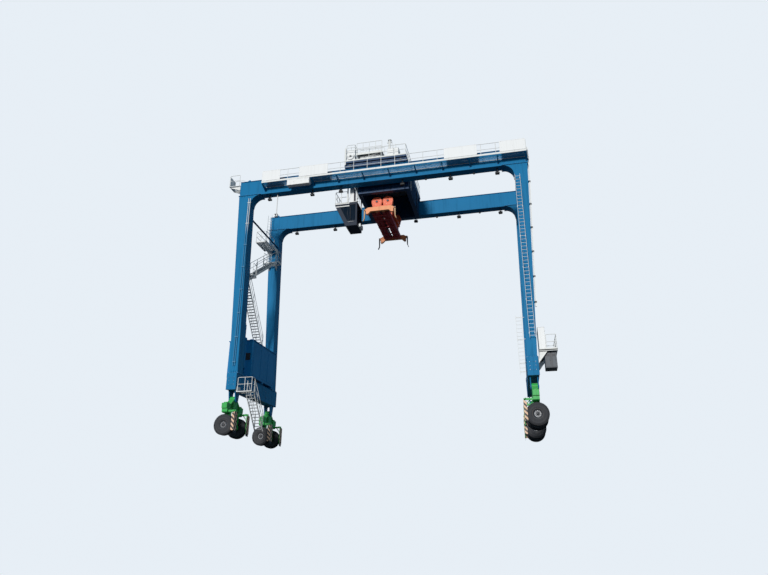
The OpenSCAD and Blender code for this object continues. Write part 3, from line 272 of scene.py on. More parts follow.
def joined(name, smooth=30, first=0):
    """One object from PARTS, smooth over gentle angles; parts before the first stay as they are."""
    parts = PARTS[first:]
    del PARTS[first:]
    pick(parts[0])
    for part in parts[1:]:
        part.select_set(True)
    if len(parts) > 1:
        bpy.ops.object.join()
    whole = parts[0]
    whole.name = whole.data.name = name
    pick(whole)
    bpy.ops.object.shade_smooth_by_angle(angle=math.radians(smooth))
    return whole


def pattern(name, smooth=30, first=0):
    """Join parts into a pattern to copy, which is taken away at the end."""
    PATTERNS.append(joined(name, smooth, first))
    return PATTERNS[-1]


def fitted(name, body, slot, *nodes, smooth=30):
    """Join a piece from PARTS and say what it rides on and the nodes it stands for; the slot is not used."""
    piece = joined(name, smooth)
    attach(piece, body)
    if nodes:
        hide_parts(*nodes)


# Finishes

class Tap:
    """One output of a shader node. Sums on taps make the maths nodes for them."""

    def __init__(self, node, output=0):
        self.node, self.socket = node, node.outputs[output]

    def __getitem__(self, output):
        return Tap(self.node, output)

    def maths(self, operation, a, b=0.0, clamp=False):
        return add(self.node.id_data, "Math", operation=operation, use_clamp=clamp, in0=a, in1=b)

    def __add__(self, other):
        return self.maths("ADD", self, other)

    def __sub__(self, other):
        return self.maths("SUBTRACT", self, other)

    def __mul__(self, other):
        return self.maths("MULTIPLY", self, other)

    def __truediv__(self, other):
        return self.maths("DIVIDE", self, other)

    def __abs__(self):
        return self.maths("ABSOLUTE", self)

    def share(self):
        """What is left over a whole number."""
        return self.maths("FRACT", self)

    def span(self, low, high, first=0.0, last=1.0):
        """From first at low to last at high, and even in between."""
        return add(self.node.id_data, "MapRange", Value=self, From_Min=low, From_Max=high, To_Min=first, To_Max=last)

    def mixed(self, a, b):
        """Colour a where this mask is 0 and colour b where it is 1."""
        return add(self.node.id_data, "Mix", data_type="RGBA", in0=self, in6=a, in7=b)[2]


def feed(socket, value):
    """Link a tap to a socket, or set the socket to a number, a vector or a colour."""
    if isinstance(value, Tap):
        socket.id_data.links.new(value.socket, socket)
    else:
        socket.default_value = (*value, 1) if socket.type == "RGBA" else value


def add(tree, kind, **values):
    """A node with its settings and sockets filled in, as the tap of its first output."""
    node = tree.nodes.new("ShaderNode" + kind)
    for key, value in values.items():
        if key[0].isupper():
            feed(node.inputs[key.replace("_", " ")], value)
        elif key[:2] == "in":
            feed(node.inputs[int(key[2:])], value)
        else:
            setattr(node, key, value)
    return Tap(node)


def spot_of(tree):
    """The place on the piece, as a vector."""
    return add(tree, "TexCoord")["Object"]


def noise(vector, scale, detail, rough=0.5):
    """Cloudy noise from 0 to 1."""
    return add(vector.node.id_data, "TexNoise", Vector=vector, Scale=scale, Detail=detail, Roughness=rough)


def weather(tree, size):
    """Masks for sun fading, rain streaks down upright faces and dust on level ones, and a fine skin."""
    spot = add(tree, "VectorMath", operation="SCALE", Vector=spot_of(tree), Scale=size)
    facing = add(tree, "SeparateXYZ", Vector=add(tree, "NewGeometry")["Normal"])["Z"]
    rain = noise(add(tree, "Mapping", Vector=spot, Scale=(5.0, 5.0, 0.22)), 1.6, 5.0, 0.6)
    streaks = rain.span(0.52, 0.78) * abs(facing).span(0.7, 0.2)
    dust = noise(spot, 3.0, 6.0, 0.7).span(0.35, 0.75) * facing.span(0.4, 0.95)
    return noise(spot, 0.35, 4.0), streaks, dust, noise(spot, 45.0, 2.0)


def edge_wear(tree, amount):
    """A mask that is 1 where paint has rubbed off along edges, broken up by chips."""
    rounded = add(tree, "Bevel", samples=4, Radius=0.012)
    same = add(tree, "VectorMath", operation="DOT_PRODUCT", in0=rounded,
               in1=add(tree, "NewGeometry")["Normal"])["Value"]
    chips = noise(spot_of(tree), 9.0, 6.0, 0.75)
    worn = same.span(0.985, 0.88) * chips - (1 - amount) * 0.6
    return worn.maths("MULTIPLY", worn, 9.0, clamp=True)


def weld_beads(tree, way, step):
    """A height that rises at even steps along one direction, as welds across a box beam."""
    along = add(tree, "VectorMath", operation="DOT_PRODUCT", in0=spot_of(tree), in1=way)["Value"]
    return (abs((along / step).share() - 0.5) * step).span(0.016, 0.0)


def new_finish(name):
    """A material with nodes, and its tree."""
    finish = bpy.data.materials.new(name)
    finish.use_nodes = True
    return finish, finish.node_tree


def skinned(finish, colour, rough, bump=None, **values):
    """Fill in a finish's surface; bump is a strength, a distance and a height."""
    tree = finish.node_tree
    values.update(Base_Color=colour, Roughness=rough)
    if bump:
        values["Normal"] = add(tree, "Bump", Strength=bump[0], Distance=bump[1], Height=bump[2])
    for key, value in values.items():
        feed(tree.nodes["Principled BSDF"].inputs[key.replace("_", " ")], value)
    return finish


def shade(colour, factor):
    """A lighter or darker tone of a colour."""
    return tuple(min(1.0, c * factor) for c in colour)


def paint(name, colour, streak, rough=0.5, stain=(0.10, 0.075, 0.05), dust=0.5, fade=0.14, wear=0.0,
          bare=(0.16, 0.075, 0.04), seam=None, size=1.0, gloss=0.3, metallic=0.0):
    """Weathered paint over steel: faded, streaked, dusty, and worn to primer at its edges."""
    finish, tree = new_finish(name)
    faded, streaks, settled_dust, skin = weather(tree, size)
    ran, lying, height = streaks * streak, settled_dust * dust, skin * 0.12
    tint = ran.mixed(faded.mixed(shade(colour, 1 - fade), shade(colour, 1 + fade)), stain)
    tint = lying.mixed(tint, (0.36, 0.33, 0.28))
    rough = ran * 0.25 + (lying * 0.3 + rough)
    if wear:
        worn = edge_wear(tree, wear)
        tint, rough, height = worn.mixed(tint, bare), rough + worn * 0.2, height - worn * 0.3
    if seam:
        beads = weld_beads(tree, *seam)
        tint, height = (beads * 0.35).mixed(tint, shade(colour, 0.5)), height + beads
    return skinned(finish, tint, rough, (0.35, 0.006, height), Metallic=metallic, Specular_IOR_Level=gloss)


def make_tyre_rubber():
    """Black rubber: greyed by dust towards the tread and finely grained."""
    finish, tree = new_finish("tyre_rubber")
    faded, streaks, *_ = weather(tree, 2.0)
    tint = faded.mixed((0.020, 0.021, 0.026), (0.042, 0.044, 0.052))
    return skinned(finish, (streaks * 0.35).mixed(tint, (0.13, 0.12, 0.10)), faded.span(0.2, 0.8, 0.62, 0.88),
                   (0.3, 0.002, noise(spot_of(tree), 160.0, 3.0)))


def make_glass():
    """Dark tinted cab glass with a thin film of dirt."""
    finish, tree = new_finish("cab_window_glass")
    film = weather(tree, 1.5)[1] * 0.3
    return skinned(finish, film.mixed((0.005, 0.011, 0.022), (0.05, 0.05, 0.05)), film + 0.04,
                   Alpha=0.92, Specular_IOR_Level=0.35)


def make_wire_rope():
    """Greased wire rope: slanting strands that catch the light."""
    finish, tree = new_finish("wire_rope_strands")
    lay = add(tree, "Mapping", Vector=spot_of(tree), Scale=(14.0, 14.0, 9.0))
    strands = add(tree, "TexWave", wave_type="BANDS", bands_direction="DIAGONAL", Vector=lay, Scale=3.0,
                  Distortion=0.6, Detail=2.0)["Fac"]
    tint = strands.mixed((0.05, 0.048, 0.045), (0.22, 0.21, 0.20))
    return skinned(finish, (weather(tree, 3.0)[0] * 0.4).mixed(tint, (0.07, 0.05, 0.035)),
                   strands.span(0.0, 1.0, 0.55, 0.36), (0.6, 0.004, strands), Metallic=0.75)


def make_guard_stripes():
    """Slanting orange and black warning stripes, scuffed."""
    finish, tree = new_finish("guard_stripes")
    axes = add(tree, "SeparateXYZ", Vector=spot_of(tree))
    faded, streaks, _, skin = weather(tree, 2.0)
    slant = axes["Y"] + axes["X"] + axes["Z"]
    tint = (slant * 2.9).share().span(0.49, 0.51).mixed((0.80, 0.52, 0.34), (0.02, 0.02, 0.022))
    return skinned(finish, (streaks * 0.3).mixed(tint, (0.12, 0.09, 0.06)), faded * 0.3 + 0.35, (0.3, 0.003, skin))


def make_conduit_paint():
    """A white duct with black clamps on the right leg, and pipes on the left one, white near their top."""
    finish, tree = new_finish("conduit_paint")
    axes = add(tree, "SeparateXYZ", Vector=spot_of(tree))
    faded, streaks, _, skin = weather(tree, 3.0)
    pipe = axes["Z"].span(17.4, 18.6).mixed((0.012, 0.200, 0.400), (0.66, 0.70, 0.72))
    first, step, depth = 9.3, 2.1, 0.12
    clamp = axes.maths("LESS_THAN", ((axes["Z"] - first) / step).share(), depth / step)
    duct = clamp.mixed((0.82, 0.83, 0.83), (0.02, 0.022, 0.026))
    tint = axes.maths("GREATER_THAN", axes["X"], 0.0).mixed(pipe, duct)
    return skinned(finish, (streaks * 0.25).mixed(tint, (0.20, 0.16, 0.12)), faded * 0.25 + 0.35, (0.3, 0.003, skin))


def make_lamp_lens():
    """A ribbed floodlight lens."""
    finish, tree = new_finish("lamp_lens")
    ribs = add(tree, "TexWave", wave_type="BANDS", bands_direction="X", Vector=spot_of(tree), Scale=12.0)["Fac"]
    return skinned(finish, ribs.mixed((0.05, 0.055, 0.06), (0.16, 0.17, 0.18)), 0.12, (0.5, 0.004, ribs))


BLUE = (0.0, 0.172, 0.385)
BLUE_STAIN = (0.006, 0.050, 0.105)
portal = {"stain": BLUE_STAIN, "gloss": 0.12, "fade": 0.07}
girder_blue = paint("girder_blue", BLUE, 0.4, seam=(RIGHT, 3.05), dust=0.2, **portal)
leg_blue = paint("leg_blue", BLUE, 0.5, seam=(UP, 2.6), dust=0.3, **portal)
sill_blue = paint("sill_blue", BLUE, 0.55, seam=(FAR, 2.1), wear=0.35, **portal)
# A navy that is the portal blue in shade: painted shade on the trolley frame, tie beams, rope well and their trims.
trolley_painted_shade_blue = paint("trolley_painted_shade_blue", (0.006, 0.050, 0.140), 0.4, 0.45)
house_blue = paint("house_blue", (0.006, 0.205, 0.480), 0.3, stain=BLUE_STAIN, gloss=0.15)
rail_white = paint("rail_white", (0.80, 0.81, 0.80), 0.28, dust=0.25, fade=0.05, stain=(0.30, 0.22, 0.15))
board_white = paint("board_white", (0.86, 0.87, 0.88), 0.14, dust=0.2, fade=0.03, stain=(0.36, 0.34, 0.31))
deck_grey = paint("deck_grey", (0.30, 0.33, 0.36), 0.3)
grating_zinc = paint("grating_zinc", (0.36, 0.38, 0.40), 0.2, 0.42, metallic=0.6)
machine_grey = paint("machine_grey", (0.085, 0.100, 0.120), 0.4, 0.45, wear=0.3)
# Black iron; on the far flippers this black is painted shade.
black_iron_and_painted_shade = paint("black_iron_and_painted_shade", (0.020, 0.022, 0.026), 0.3)
gear_green = paint("gear_green", (0.022, 0.420, 0.075), 0.45, 0.4, wear=0.5, stain=(0.035, 0.030, 0.022))
motor_green = paint("motor_green", (0.030, 0.240, 0.075), 0.6, 0.45, wear=0.4, stain=(0.020, 0.018, 0.015),
                    size=2.0)
head_orange = paint("head_orange", (0.92, 0.155, 0.060), 0.25, 0.4, wear=0.45, bare=(0.20, 0.10, 0.06))
spreader_red = paint("spreader_red", (0.460, 0.040, 0.050), 0.4, wear=0.35, bare=(0.13, 0.09, 0.07))
beam_orange = paint("beam_orange", (0.86, 0.330, 0.140), 0.35, 0.45, wear=0.5, bare=(0.20, 0.11, 0.07))
bolt_zinc = paint("bolt_zinc", (0.30, 0.31, 0.33), 0.4, 0.38, metallic=0.8, size=4.0)
rail_steel = paint("rail_steel", (0.20, 0.17, 0.15), 0.5, 0.4, metallic=0.7)
cable_black = paint("cable_black", (0.018, 0.018, 0.020), 0.3, 0.55, size=3.0)
cab_dark = paint("cab_dark", (0.004, 0.014, 0.036), 0.3, stain=(0.03, 0.03, 0.03), gloss=0.2)
rim_grey = paint("rim_grey", (0.040, 0.044, 0.052), 0.4, 0.45, wear=0.3)
# The near flippers' tan stands for sunlight on them: painted light.
flipper_sunlit_tan = paint("flipper_sunlit_tan", (0.58, 0.37, 0.20), 0.4, wear=0.5, bare=(0.12, 0.08, 0.06))
conduit_paint = make_conduit_paint()
tyre_rubber = make_tyre_rubber()
glass_tint = make_glass()
rope_strands = make_wire_rope()
guard_stripes = make_guard_stripes()
lamp_lens = make_lamp_lens()

NODE_FINISH = {start: finish for finish, starts in (
    (girder_blue, "girder"), (leg_blue, "leg_near leg_far"), (sill_blue, "sill"),
    # Tie beams, trolley frame and rope well take the navy of painted shade.
    (trolley_painted_shade_blue, "tie_beams trolley_frame rope_well"), (house_blue, "power_house silencer"),
    (rail_white, "walkways handrail side_platform stair leg_ladder trolley_handrail cab_balcony"),
    # The far flippers' black and, below, the near flippers' tan are painted shade and painted sunlight on one
    # material.
    (board_white, "sign_boards girder_fittings trolley_cabinets"), (black_iron_and_painted_shade, "floodlights flipper_far"),
    (conduit_paint, "cable_conduit"), (deck_grey, "trolley_deck"), (machine_grey, "hoist_machinery"),
    (cab_dark, "cab"), (glass_tint, "cab_glass"), (rope_strands, "hoist_ropes"), (head_orange, "head_block"),
    (spreader_red, "spreader_main"), (beam_orange, "spreader_near spreader_far"),
    (flipper_sunlit_tan, "flipper_near"), (gear_green, "bogie pod"), (tyre_rubber, "wheel")) for start in starts.split()}
for node_name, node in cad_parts.items():
    best = max((start for start in NODE_FINISH if node_name.startswith(start)), key=len)
    node.data.materials.clear()
    node.data.materials.append(NODE_FINISH[best])


# Shared fittings

# A hex bolt head on its washer, one unit in radius, standing up from the origin.
soften(post(0, 0, 0.2, 0.95, 1.0, bolt_zinc, 6), 0.12)
post(0, 0, 0, 0.2, 1.35, bolt_zinc, 12)
BOLT = pattern("bolt_pattern")
slab((0, 0, 0.006), (0.038, 0.038, 0.006), rail_white, 0.003)
RAIL_FOOT = pattern("rail_foot_pattern")


def bolts(places, facing, size=0.022):
    """Bolt heads at some places, all facing one way."""
    turn = Vector(facing).to_track_quat("Z", "Y").to_matrix().to_4x4()
    for place in places:
        copied(BOLT, Matrix.Translation(place) @ turn @ Matrix.Diagonal((size, size, size, 1)))


def bolt_ring(middle, facing, radius, count, size=0.018):
    """Bolt heads on a circle round an axis."""
    middle, facing = Vector(middle), Vector(facing).normalized()
    side = facing.orthogonal().normalized()
    turns = [2 * math.pi * (i + 0.5) / count for i in range(count)]
    bolts([middle + (side * math.cos(t) + facing.cross(side) * math.sin(t)) * radius for t in turns], facing, size)


def bolt_square(middle, reach, facing, size):
    """Bolt heads at the corners of a rectangle, whose reach is 0 in the way they face."""
    corners = {tuple(m + r * s for m, r, s in zip(middle, reach, (a, b, c))) for a, b in SIGNS for c in BOTH}
    bolts(sorted(corners), facing, size)


def hose(path, bend, radius):
    tubes([bend_corners(path, bend)], radius, cable_black)


def guard_rail(plan, z, step=1.2, up=RAIL_UP):
    """A handrail along a plan of (x, y) points: bent top tube, knee tube, posts and their feet."""
    ends = [(*plan[0], z), *[(x, y, z + up) for x, y in plan], (*plan[-1], z)]
    tubes([bend_corners(ends)], TUBE, rail_white, 10)
    tubes([bend_corners([(x, y, z + up / 2) for x, y in plan])], TUBE * 0.85, rail_white, 10)
    stands = []
    for a, b in zip(plan, plan[1:]):
        a, b = Vector(a), Vector(b)
        count = max(1, round((b - a).length / step))
        stands += [a + (b - a) * i / count for i in range(1, count)]
    stands += plan[1:-1]
    if stands:
        tubes([[(*p, z), (*p, z + up)] for p in stands], TUBE * 0.88, rail_white, 10)
    for p in stands + [plan[0], plan[-1]]:
        moved(RAIL_FOOT, *p, z)


def grating(low, high):
    """A floor panel: bearing bars in a row along its longer way, and rods across them."""
    (x0, y0, z0), (x1, y1, z1) = low, high
    longer = 0 if x1 - x0 > y1 - y0 else 1
    for way, thick, pitch, more, bottom, top in ((longer, 0.004, 0.045, 0, z0, z1),
                                                 (1 - longer, 0.006, 0.10, 1, z1 - 0.010, z1 - 0.002)):
        far, step = [x1, y1, top], [0, 0, 0]
        count = int((high[way] - low[way]) / pitch) + more
        far[way], step[way] = low[way] + thick, pitch
        repeat(block((x0, y0, bottom), far, grating_zinc), count, step)


def framed_floor(low, high):
    """A grating in a frame of flat bars."""
    (x0, y0, z0), (x1, y1, z1) = low, high
    t = 0.010
    for a, b, c, d in ((x0, y0, x1, y0 + t), (x0, y1 - t, x1, y1), (x0, y0, x0 + t, y1), (x1 - t, y0, x1, y1)):
        block((a, b, z0), (c, d, z1), rail_white, 0.002)
    grating((x0 + t, y0 + t, z1 - 0.030), (x1 - t, y1 - t, z1))


def bracket(place, outline, thick, finish, flange=0.09):
    """A web plate with a flat flange along its lower, slanting edge."""
    (u2, z2), (u3, z3) = outline[2:]
    plate(outline, thick, place, finish)
    plate([(u2, z2), (u3, z3), (u3, z3 + 0.014), (u2, z2 + 0.014)], flange, place, finish)


# Portal

def girder_trim():
    """Rail clips, lug cheeks, end hatches and splice plates of both girders."""
    block((-0.05, 0.075, GIRDER_TOP), (0.05, 0.135, GIRDER_TOP + 0.028), rail_steel, 0.006)
    bolts([(0, 0.115, GIRDER_TOP + 0.028)], UP, 0.018)
    row = repeat(pattern("clip_pattern"), 30, (0.745, 0, 0))
    for y in (-FRAME_Y, FRAME_Y):
        for k in BOTH:
            copied(row, Matrix.Translation((-10.8, y, 0)) @ Matrix.Diagonal((1, k, 1, 1)))
            for s in BOTH:
                turned([(0.056, 0), (0.056, 0.014), (0.105, 0.014), (0.115, 0.004), (0.115, 0)],
                       (k * (GIRDER_HALF - 0.7), y + s * 0.030, GIRDER_TOP + 0.18), (0, s, 0), girder_blue)
            end = k * GIRDER_HALF
            turned([(0.0, 0.016), (0.235, 0.016), (0.25, 0.006), (0.25, 0)], (end - k * 0.001, y, 22.2),
                   (k, 0, 0), girder_blue, 40)
            bolt_ring((end + k * 0.015, y, 22.2), (k, 0, 0), 0.215, 14)
            for z in (21.72, 22.72):
                block((end - 0.001 * k, y - 0.25, z - 0.008), (end + 0.016 * k, y + 0.25, z + 0.008), girder_blue)
    fitted("girder_trim", "gantry", "portal_blue")


def flange_bolts():
    """The bolts round the flanges at each leg's foot and head."""
    ledge = LEG_D / 2 + 0.030
    for kx, ky in SIGNS:
        x, y = kx * HALF_SPAN, ky * FRAME_Y
        foot = [(x + dx, y + s * ledge) for dx in (-0.39, -0.278, -0.092, 0.092, 0.278, 0.39) for s in BOTH]
        sides = [(x + s * 0.40, y + dy) for dy in (-0.36, -0.18, 0, 0.18, 0.36) for s in BOTH]
        head = [(kx * (10.66 + 2.1 * (i + 0.5) / 13), y + s * ledge) for i in range(13) for s in BOTH]
        for places, z, facing in ((foot + sides, SILL_TOP + 0.04, UP), (foot, SILL_TOP - 0.04, DOWN),
                                  (head, GIRDER_Z - 0.04, DOWN), (head, GIRDER_Z, UP)):
            bolts([(*place, z) for place in places], facing, 0.021)
    fitted("leg_flange_bolts", "gantry", "portal_blue")


def sill_trim():
    """Hatch covers, pin keepers and end covers of the sill beams."""
    for k, s in SIGNS:
        x = k * HALF_SPAN
        face = x + s * 0.40
        for y in (-1.6, 1.6):
            block((face, y - 0.26, 4.05), (face + s * 0.012, y + 0.26, 4.62), sill_blue, 0.004)
            bolts([(face + s * 0.012, y + dy, z) for dy in (-0.22, 0, 0.22) for z in (4.09, 4.58)], (s, 0, 0), 0.012)
        for y in (-FRAME_Y, FRAME_Y):
            turned([(0, 0.020), (0.10, 0.020), (0.125, 0.008), (0.125, 0)], (x + s * 0.3004, y, 2.95), (s, 0, 0),
                   sill_blue)
            bolt_ring((x + s * 0.3184, y, 2.95), (s, 0, 0), 0.085, 6, 0.012)
        end = s * (SILL_HALF + 0.02)
        cover = block((x - 0.24, end, 4.0), (x + 0.24, end + s * 0.014, 4.66), sill_blue, 0.004)
        inset_side(cover, (0, s, 0), 0.05, 0.008)
        bolts([(x + dx, end + s * 0.014, z) for dx in (-0.215, 0.215) for z in (4.04, 4.33, 4.62)], (0, s, 0), 0.013)
    fitted("sill_trim", "gantry", "portal_blue")


def walkway_floors():
    """Both walkways with their gratings, toe boards and brackets, and the end platform."""
    x0, x1, inner, outer = -10.40, 12.80, 3.81, 4.70
    under = WALK_Z - 0.05
    framed_floor((x0, inner, under), (x1, outer - 0.008, WALK_Z))
    block((x0, outer - 0.008, under), (x1, outer, WALK_Z + 0.12), rail_white, 0.002)
    for i in range(11):
        x = x0 + 0.06 + i * (x1 - x0 - 0.12) / 10
        bracket(("yz", x), [(inner, under), (outer - 0.01, under), (outer - 0.01, under - 0.082),
                            (inner, under - 0.41)], 0.012, girder_blue)
        block((x - 0.07, inner, under - 0.40), (x + 0.07, inner + 0.012, under - 0.01), girder_blue, 0.003)
        bolts([(x + dx, inner + 0.012, under - dz) for dx in (-0.048, 0.048) for dz in (0.06, 0.20, 0.35)], FAR,
              0.013)
    half = pattern("walkway_pattern")
    for side in BOTH:
        copied(half, Matrix.Diagonal((1, side, 1, 1)))
    ex0, ex1, ey0, ey1, ez = -13.915, -12.865, -4.0, -3.0, WALK_Z + 0.4
    framed_floor((ex0, ey0, ez), (ex1, ey1, ez + 0.05))
    inset_side(block((ex0, ey0, ez + 0.05), (ex0 + 0.03, ey1, ez + 1.1), board_white, 0.004), LEFT, 0.05, 0.006)
    for y in (ey0 + 0.026, ey1 - 0.026):
        guard_rail([(ex0 + 0.06, y), (ex1 - 0.05, y)], ez + 0.05, 0.9)
    for y in (ey0 + 0.14, ey1 - 0.14):
        bracket(("xz", y), [(ex0 + 0.1, ez), (ex1, ez), (ex1, ez - 0.42), (ex0 + 0.1, ez - 0.08)], 0.012,
                rail_white, 0.08)
    fitted("walkway_floors", "gantry", "access_white", "walkways")


def walkway_rails():
    """The handrails along both walkways."""
    for side, name in ((-1, "near"), (1, "far")):
        y = side * 4.66
        guard_rail([(-10.376, y), (12.776, y)], WALK_Z + 0.002)
        fitted("walkway_rail_" + name, "gantry", "access_white", "handrail_" + name)


def sign_boards():
    """Bare folded sheets clamped on the near handrail."""
    for left, right in ((-0.884, -0.737), (-0.585, -0.358), (0.515, 0.750), (0.908, 1.087)):
        x0, x1 = left * HALF_SPAN, right * HALF_SPAN
        inset_side(block((x0, -4.714, 22.28), (x1, -4.688, 23.30), board_white, 0.004), NEAR, 0.035, 0.006)
        for z in (22.70, 23.25):
            for x in (x0 + 0.15, (x0 + x1) / 2, x1 - 0.15):
                slab((x, -4.661, z), (0.03, 0.029, 0.035), bolt_zinc, 0.006)
                bolts([(x, -4.709, z)], NEAR, 0.010)
    fitted("sign_board_sheets", "gantry", "access_white", "sign_boards")


def make_floodlight():
    """A floodlight on its stem: tapered housing, cooling fins, yoke and lens, hung from z = 0."""
    shell = block((-0.17, -0.13, -0.52), (0.17, 0.13, -0.42), black_iron_and_painted_shade)
    pick(shell)
    for vert in shell.data.vertices:
        vert.select = vert.co.z > -0.45
    for face in shell.data.polygons:
        face.select = face.normal.z > 0.9
    bpy.ops.object.mode_set(mode="EDIT")
    bpy.ops.mesh.select_mode(type="FACE")
    bpy.ops.mesh.extrude_region_move(TRANSFORM_OT_translate={"value": (0, 0, 0.11)})
    bpy.ops.object.mode_set(mode="OBJECT")
    for vert in shell.data.vertices:
        if vert.co.z > -0.35:
            vert.co.x *= 0.5
            vert.co.y *= 0.6
    inset_side(shell, DOWN, 0.02, 0.02)
    soften(shell, 0.008)
    repeat(block((-0.075, -0.075, -0.32), (-0.070, 0.075, -0.275), black_iron_and_painted_shade), 6, (0.029, 0, 0))
    block((-0.145, -0.105, -0.515), (0.145, 0.105, -0.500), lamp_lens, 0.004)
    post(0, 0, -0.27, 0, 0.032, black_iron_and_painted_shade, 12)
    block((-0.08, -0.08, -0.014), (0.08, 0.08, 0), black_iron_and_painted_shade, 0.003)
    tubes([[(-0.184, 0, -0.47), (-0.19, 0, -0.36), (-0.12, 0, -0.25), (0.12, 0, -0.25), (0.19, 0, -0.36),
            (0.184, 0, -0.47)]], 0.012, black_iron_and_painted_shade)
    for s in BOTH:
        bolts([(s * 0.17, 0, -0.47)], (s, 0, 0), 0.018)
    return pattern("floodlight_pattern")


def floodlights():
    """Six full and two small floodlights under each girder."""
    lamp = make_floodlight()
    for y in (-FRAME_Y, FRAME_Y):
        for share in (-0.852, -0.507, -0.281, 0.191, 0.547, 0.881):
            moved(lamp, share * HALF_SPAN, y, GIRDER_Z)
        for share in (0.366, 0.716):
            copied(lamp, Matrix.Translation((share * HALF_SPAN, y, GIRDER_Z)) @ Matrix.Scale(0.5, 4))
    fitted("floodlight_heads", "gantry", "machine_grey", "floodlights")


def power_house_trim():
    """Doors, hinges, roof gear and side sheets of the power house."""
    x_out, x_in, y0, y1, z0, z1 = -13.385, -11.185, -1.885, 2.965, 5.18, 8.35
    width = (y1 - y0 - 0.4) / 4
    for i in range(4):
        a = y0 + 0.1 + i * (width + 0.06)
        door = block((x_out - 0.022, a, z0 + 0.14), (x_out + 0.004, a + width, z1 - 0.32), house_blue, 0.006)
        inset_side(door, LEFT, 0.09, 0.012)
        hinge = a + (0.03 if i % 2 else width - 0.03)
        for z in (z0 + 0.45, z0 + 1.4, z1 - 0.6):
            post(x_out - 0.032, hinge, z - 0.07, z + 0.07, 0.016, bolt_zinc, 10)
        grip((x_out - 0.02, a + (width - 0.10 if i % 2 else 0.10), 6.55), (-0.055, 0, 0), (0, 0, 0.30), 0.03, 0.011,
             bolt_zinc)
    louvre = (y1 - y0 - 1.2) / 3
    for i in range(3):
        a = y0 + 0.3 + i * (louvre + 0.3)
        b, low, high = a + louvre, z0 + 0.25, z1 - 0.45
        sheet = block((x_in - 0.002, a - 0.05, low - 0.05), (x_in + 0.016, b + 0.05, high + 0.05), house_blue, 0.003)
        inset_side(sheet, RIGHT, 0.05, 0.004)
        bolts([(x_in + 0.016, y, z) for y in (a - 0.025, b + 0.025) for z in (low, (low + high) / 2, high)], RIGHT,
              0.010)
    for x in (x_out + 0.35, x_in - 0.35):
        for y in (y0 + 0.5, y1 - 0.5):
            turned([(0.035, -0.012), (0.075, -0.012), (0.075, 0.012), (0.035, 0.012), (0.035, -0.012)],
                   (x, y, z1 + 0.06), RIGHT, house_blue, 24)
            block((x - 0.05, y - 0.05, z1 - 0.001), (x + 0.05, y + 0.05, z1 + 0.012), house_blue)
    repeat(block((x_out - 0.02, y0 + 0.40, z1 - 0.001), (x_in + 0.02, y0 + 0.44, z1 + 0.025), house_blue, 0.004), 5,
           (0, 0.96, 0))
    cowl = turned([(0.0, 0.40), (0.14, 0.38), (0.26, 0.30), (0.27, 0.24), (0.19, 0.24), (0.19, 0.0)],
                  (x_out + 1.5, y0 + 1.1, z1), UP, house_blue)
    moved(cowl, 0, 1.9, 0)
    block((x_out + 0.5, y0 - 0.03, 5.5), (x_out + 1.4, y0 + 0.001, 7.6), house_blue, 0.006)
    block((x_out + 1.5, y0 - 0.03, 6.6), (x_out + 2.0, y0 + 0.001, 7.2), black_iron_and_painted_shade, 0.006)
    fitted("power_house_trim", "gantry", "house_blue")


def silencer_trim():
    """Clamp bolts, end domes and the hinged rain cap of the exhaust."""
    x, y, z0 = -HALF_SPAN + 0.06, -2.715, 5.7
    for z in (z0 + 0.15, z0 + 1.3, z0 + 2.39):
        for s in BOTH:
            block((x + s * 0.235, y - 0.05, z), (x + s * 0.30, y + 0.05, z + 0.06), house_blue, 0.006)
        bolts([(x + 0.30, y, z + 0.03)], RIGHT, 0.016)
    turned([(0.0, 0.06), (0.13, 0.055), (0.20, 0.02), (0.235, 0.0)], (x, y, z0 + 2.6), UP, house_blue, 40)
    bolt_ring((x, y, z0 + 2.64), UP, 0.135, 8, 0.012)
    top = z0 + 2.6 + 1.15
    turned([(0.098, -0.05), (0.118, -0.05), (0.118, 0.004), (0.098, 0.004), (0.098, -0.05)], (x, y, top), UP,
           rail_white)
    for z in (top - 0.35, top - 0.75):
        turned([(0.110, 0), (0.122, 0.004), (0.122, 0.026), (0.110, 0.03)], (x, y, z), UP, bolt_zinc)
    flap = turned([(0.0, 0.010), (0.115, 0.010), (0.122, 0.004), (0.122, 0.0), (0.0, 0.0)], (0, 0, 0), UP, rail_white)
    flap.data.transform(Matrix.Translation((x - 0.03, y, top + 0.065)) @ Matrix.Rotation(-0.5, 4, "Y"))
    fitted("silencer_trim", "gantry", "house_blue")


def cabinet_box(low, high, facing, finish, doors=2, roof=0.02):
    """A sheet steel cabinet: doors with pressed panels, hinges, handles and a vent, and a roof lip."""
    (x0, y0, z0), (x1, y1, z1) = low, high
    block(low, (x1, y1, z1 - 0.02), finish, 0.006)
    block((x0 - roof, y0 - roof, z1 - 0.03), (x1 + roof, y1 + roof, z1), finish, 0.006)
    along_y = abs(facing[0]) > 0
    sign = facing[0] + facing[1]
    face = (x1 if sign > 0 else x0) if along_y else (y1 if sign > 0 else y0)
    start, stop = (y0, y1) if along_y else (x0, x1)
    width = (stop - start - 0.04 * (doors + 1)) / doors
    height = z1 - z0 - 0.14

    def spot(along, out, z):
        return (face + sign * out, along, z) if along_y else (along, face + sign * out, z)

    for i in range(doors):
        a = start + 0.04 + i * (width + 0.04)
        door = block(spot(a, -0.002, z0 + 0.06), spot(a + width, 0.018, z0 + 0.06 + height), finish, 0.004)
        inset_side(door, facing, 0.045, 0.008)
        rod(spot(a + width - 0.07, 0.03, z0 + height * 0.45), spot(a + width - 0.07, 0.03, z0 + height * 0.45 + 0.14),
            0.010, bolt_zinc, 8)
        for share in (0.15, 0.85):
            z = z0 + 0.06 + height * share
            rod(spot(a + 0.004, 0.020, z - 0.04), spot(a + 0.004, 0.020, z + 0.04), 0.010, bolt_zinc, 8)
        vent_z = z0 + 0.06 + height * 0.72
        slat = block(spot(a + width * 0.25, 0.004, vent_z), spot(a + width * 0.75, 0.022, vent_z + 0.010), finish)
        repeat(slat, 5, (0, 0, 0.032))


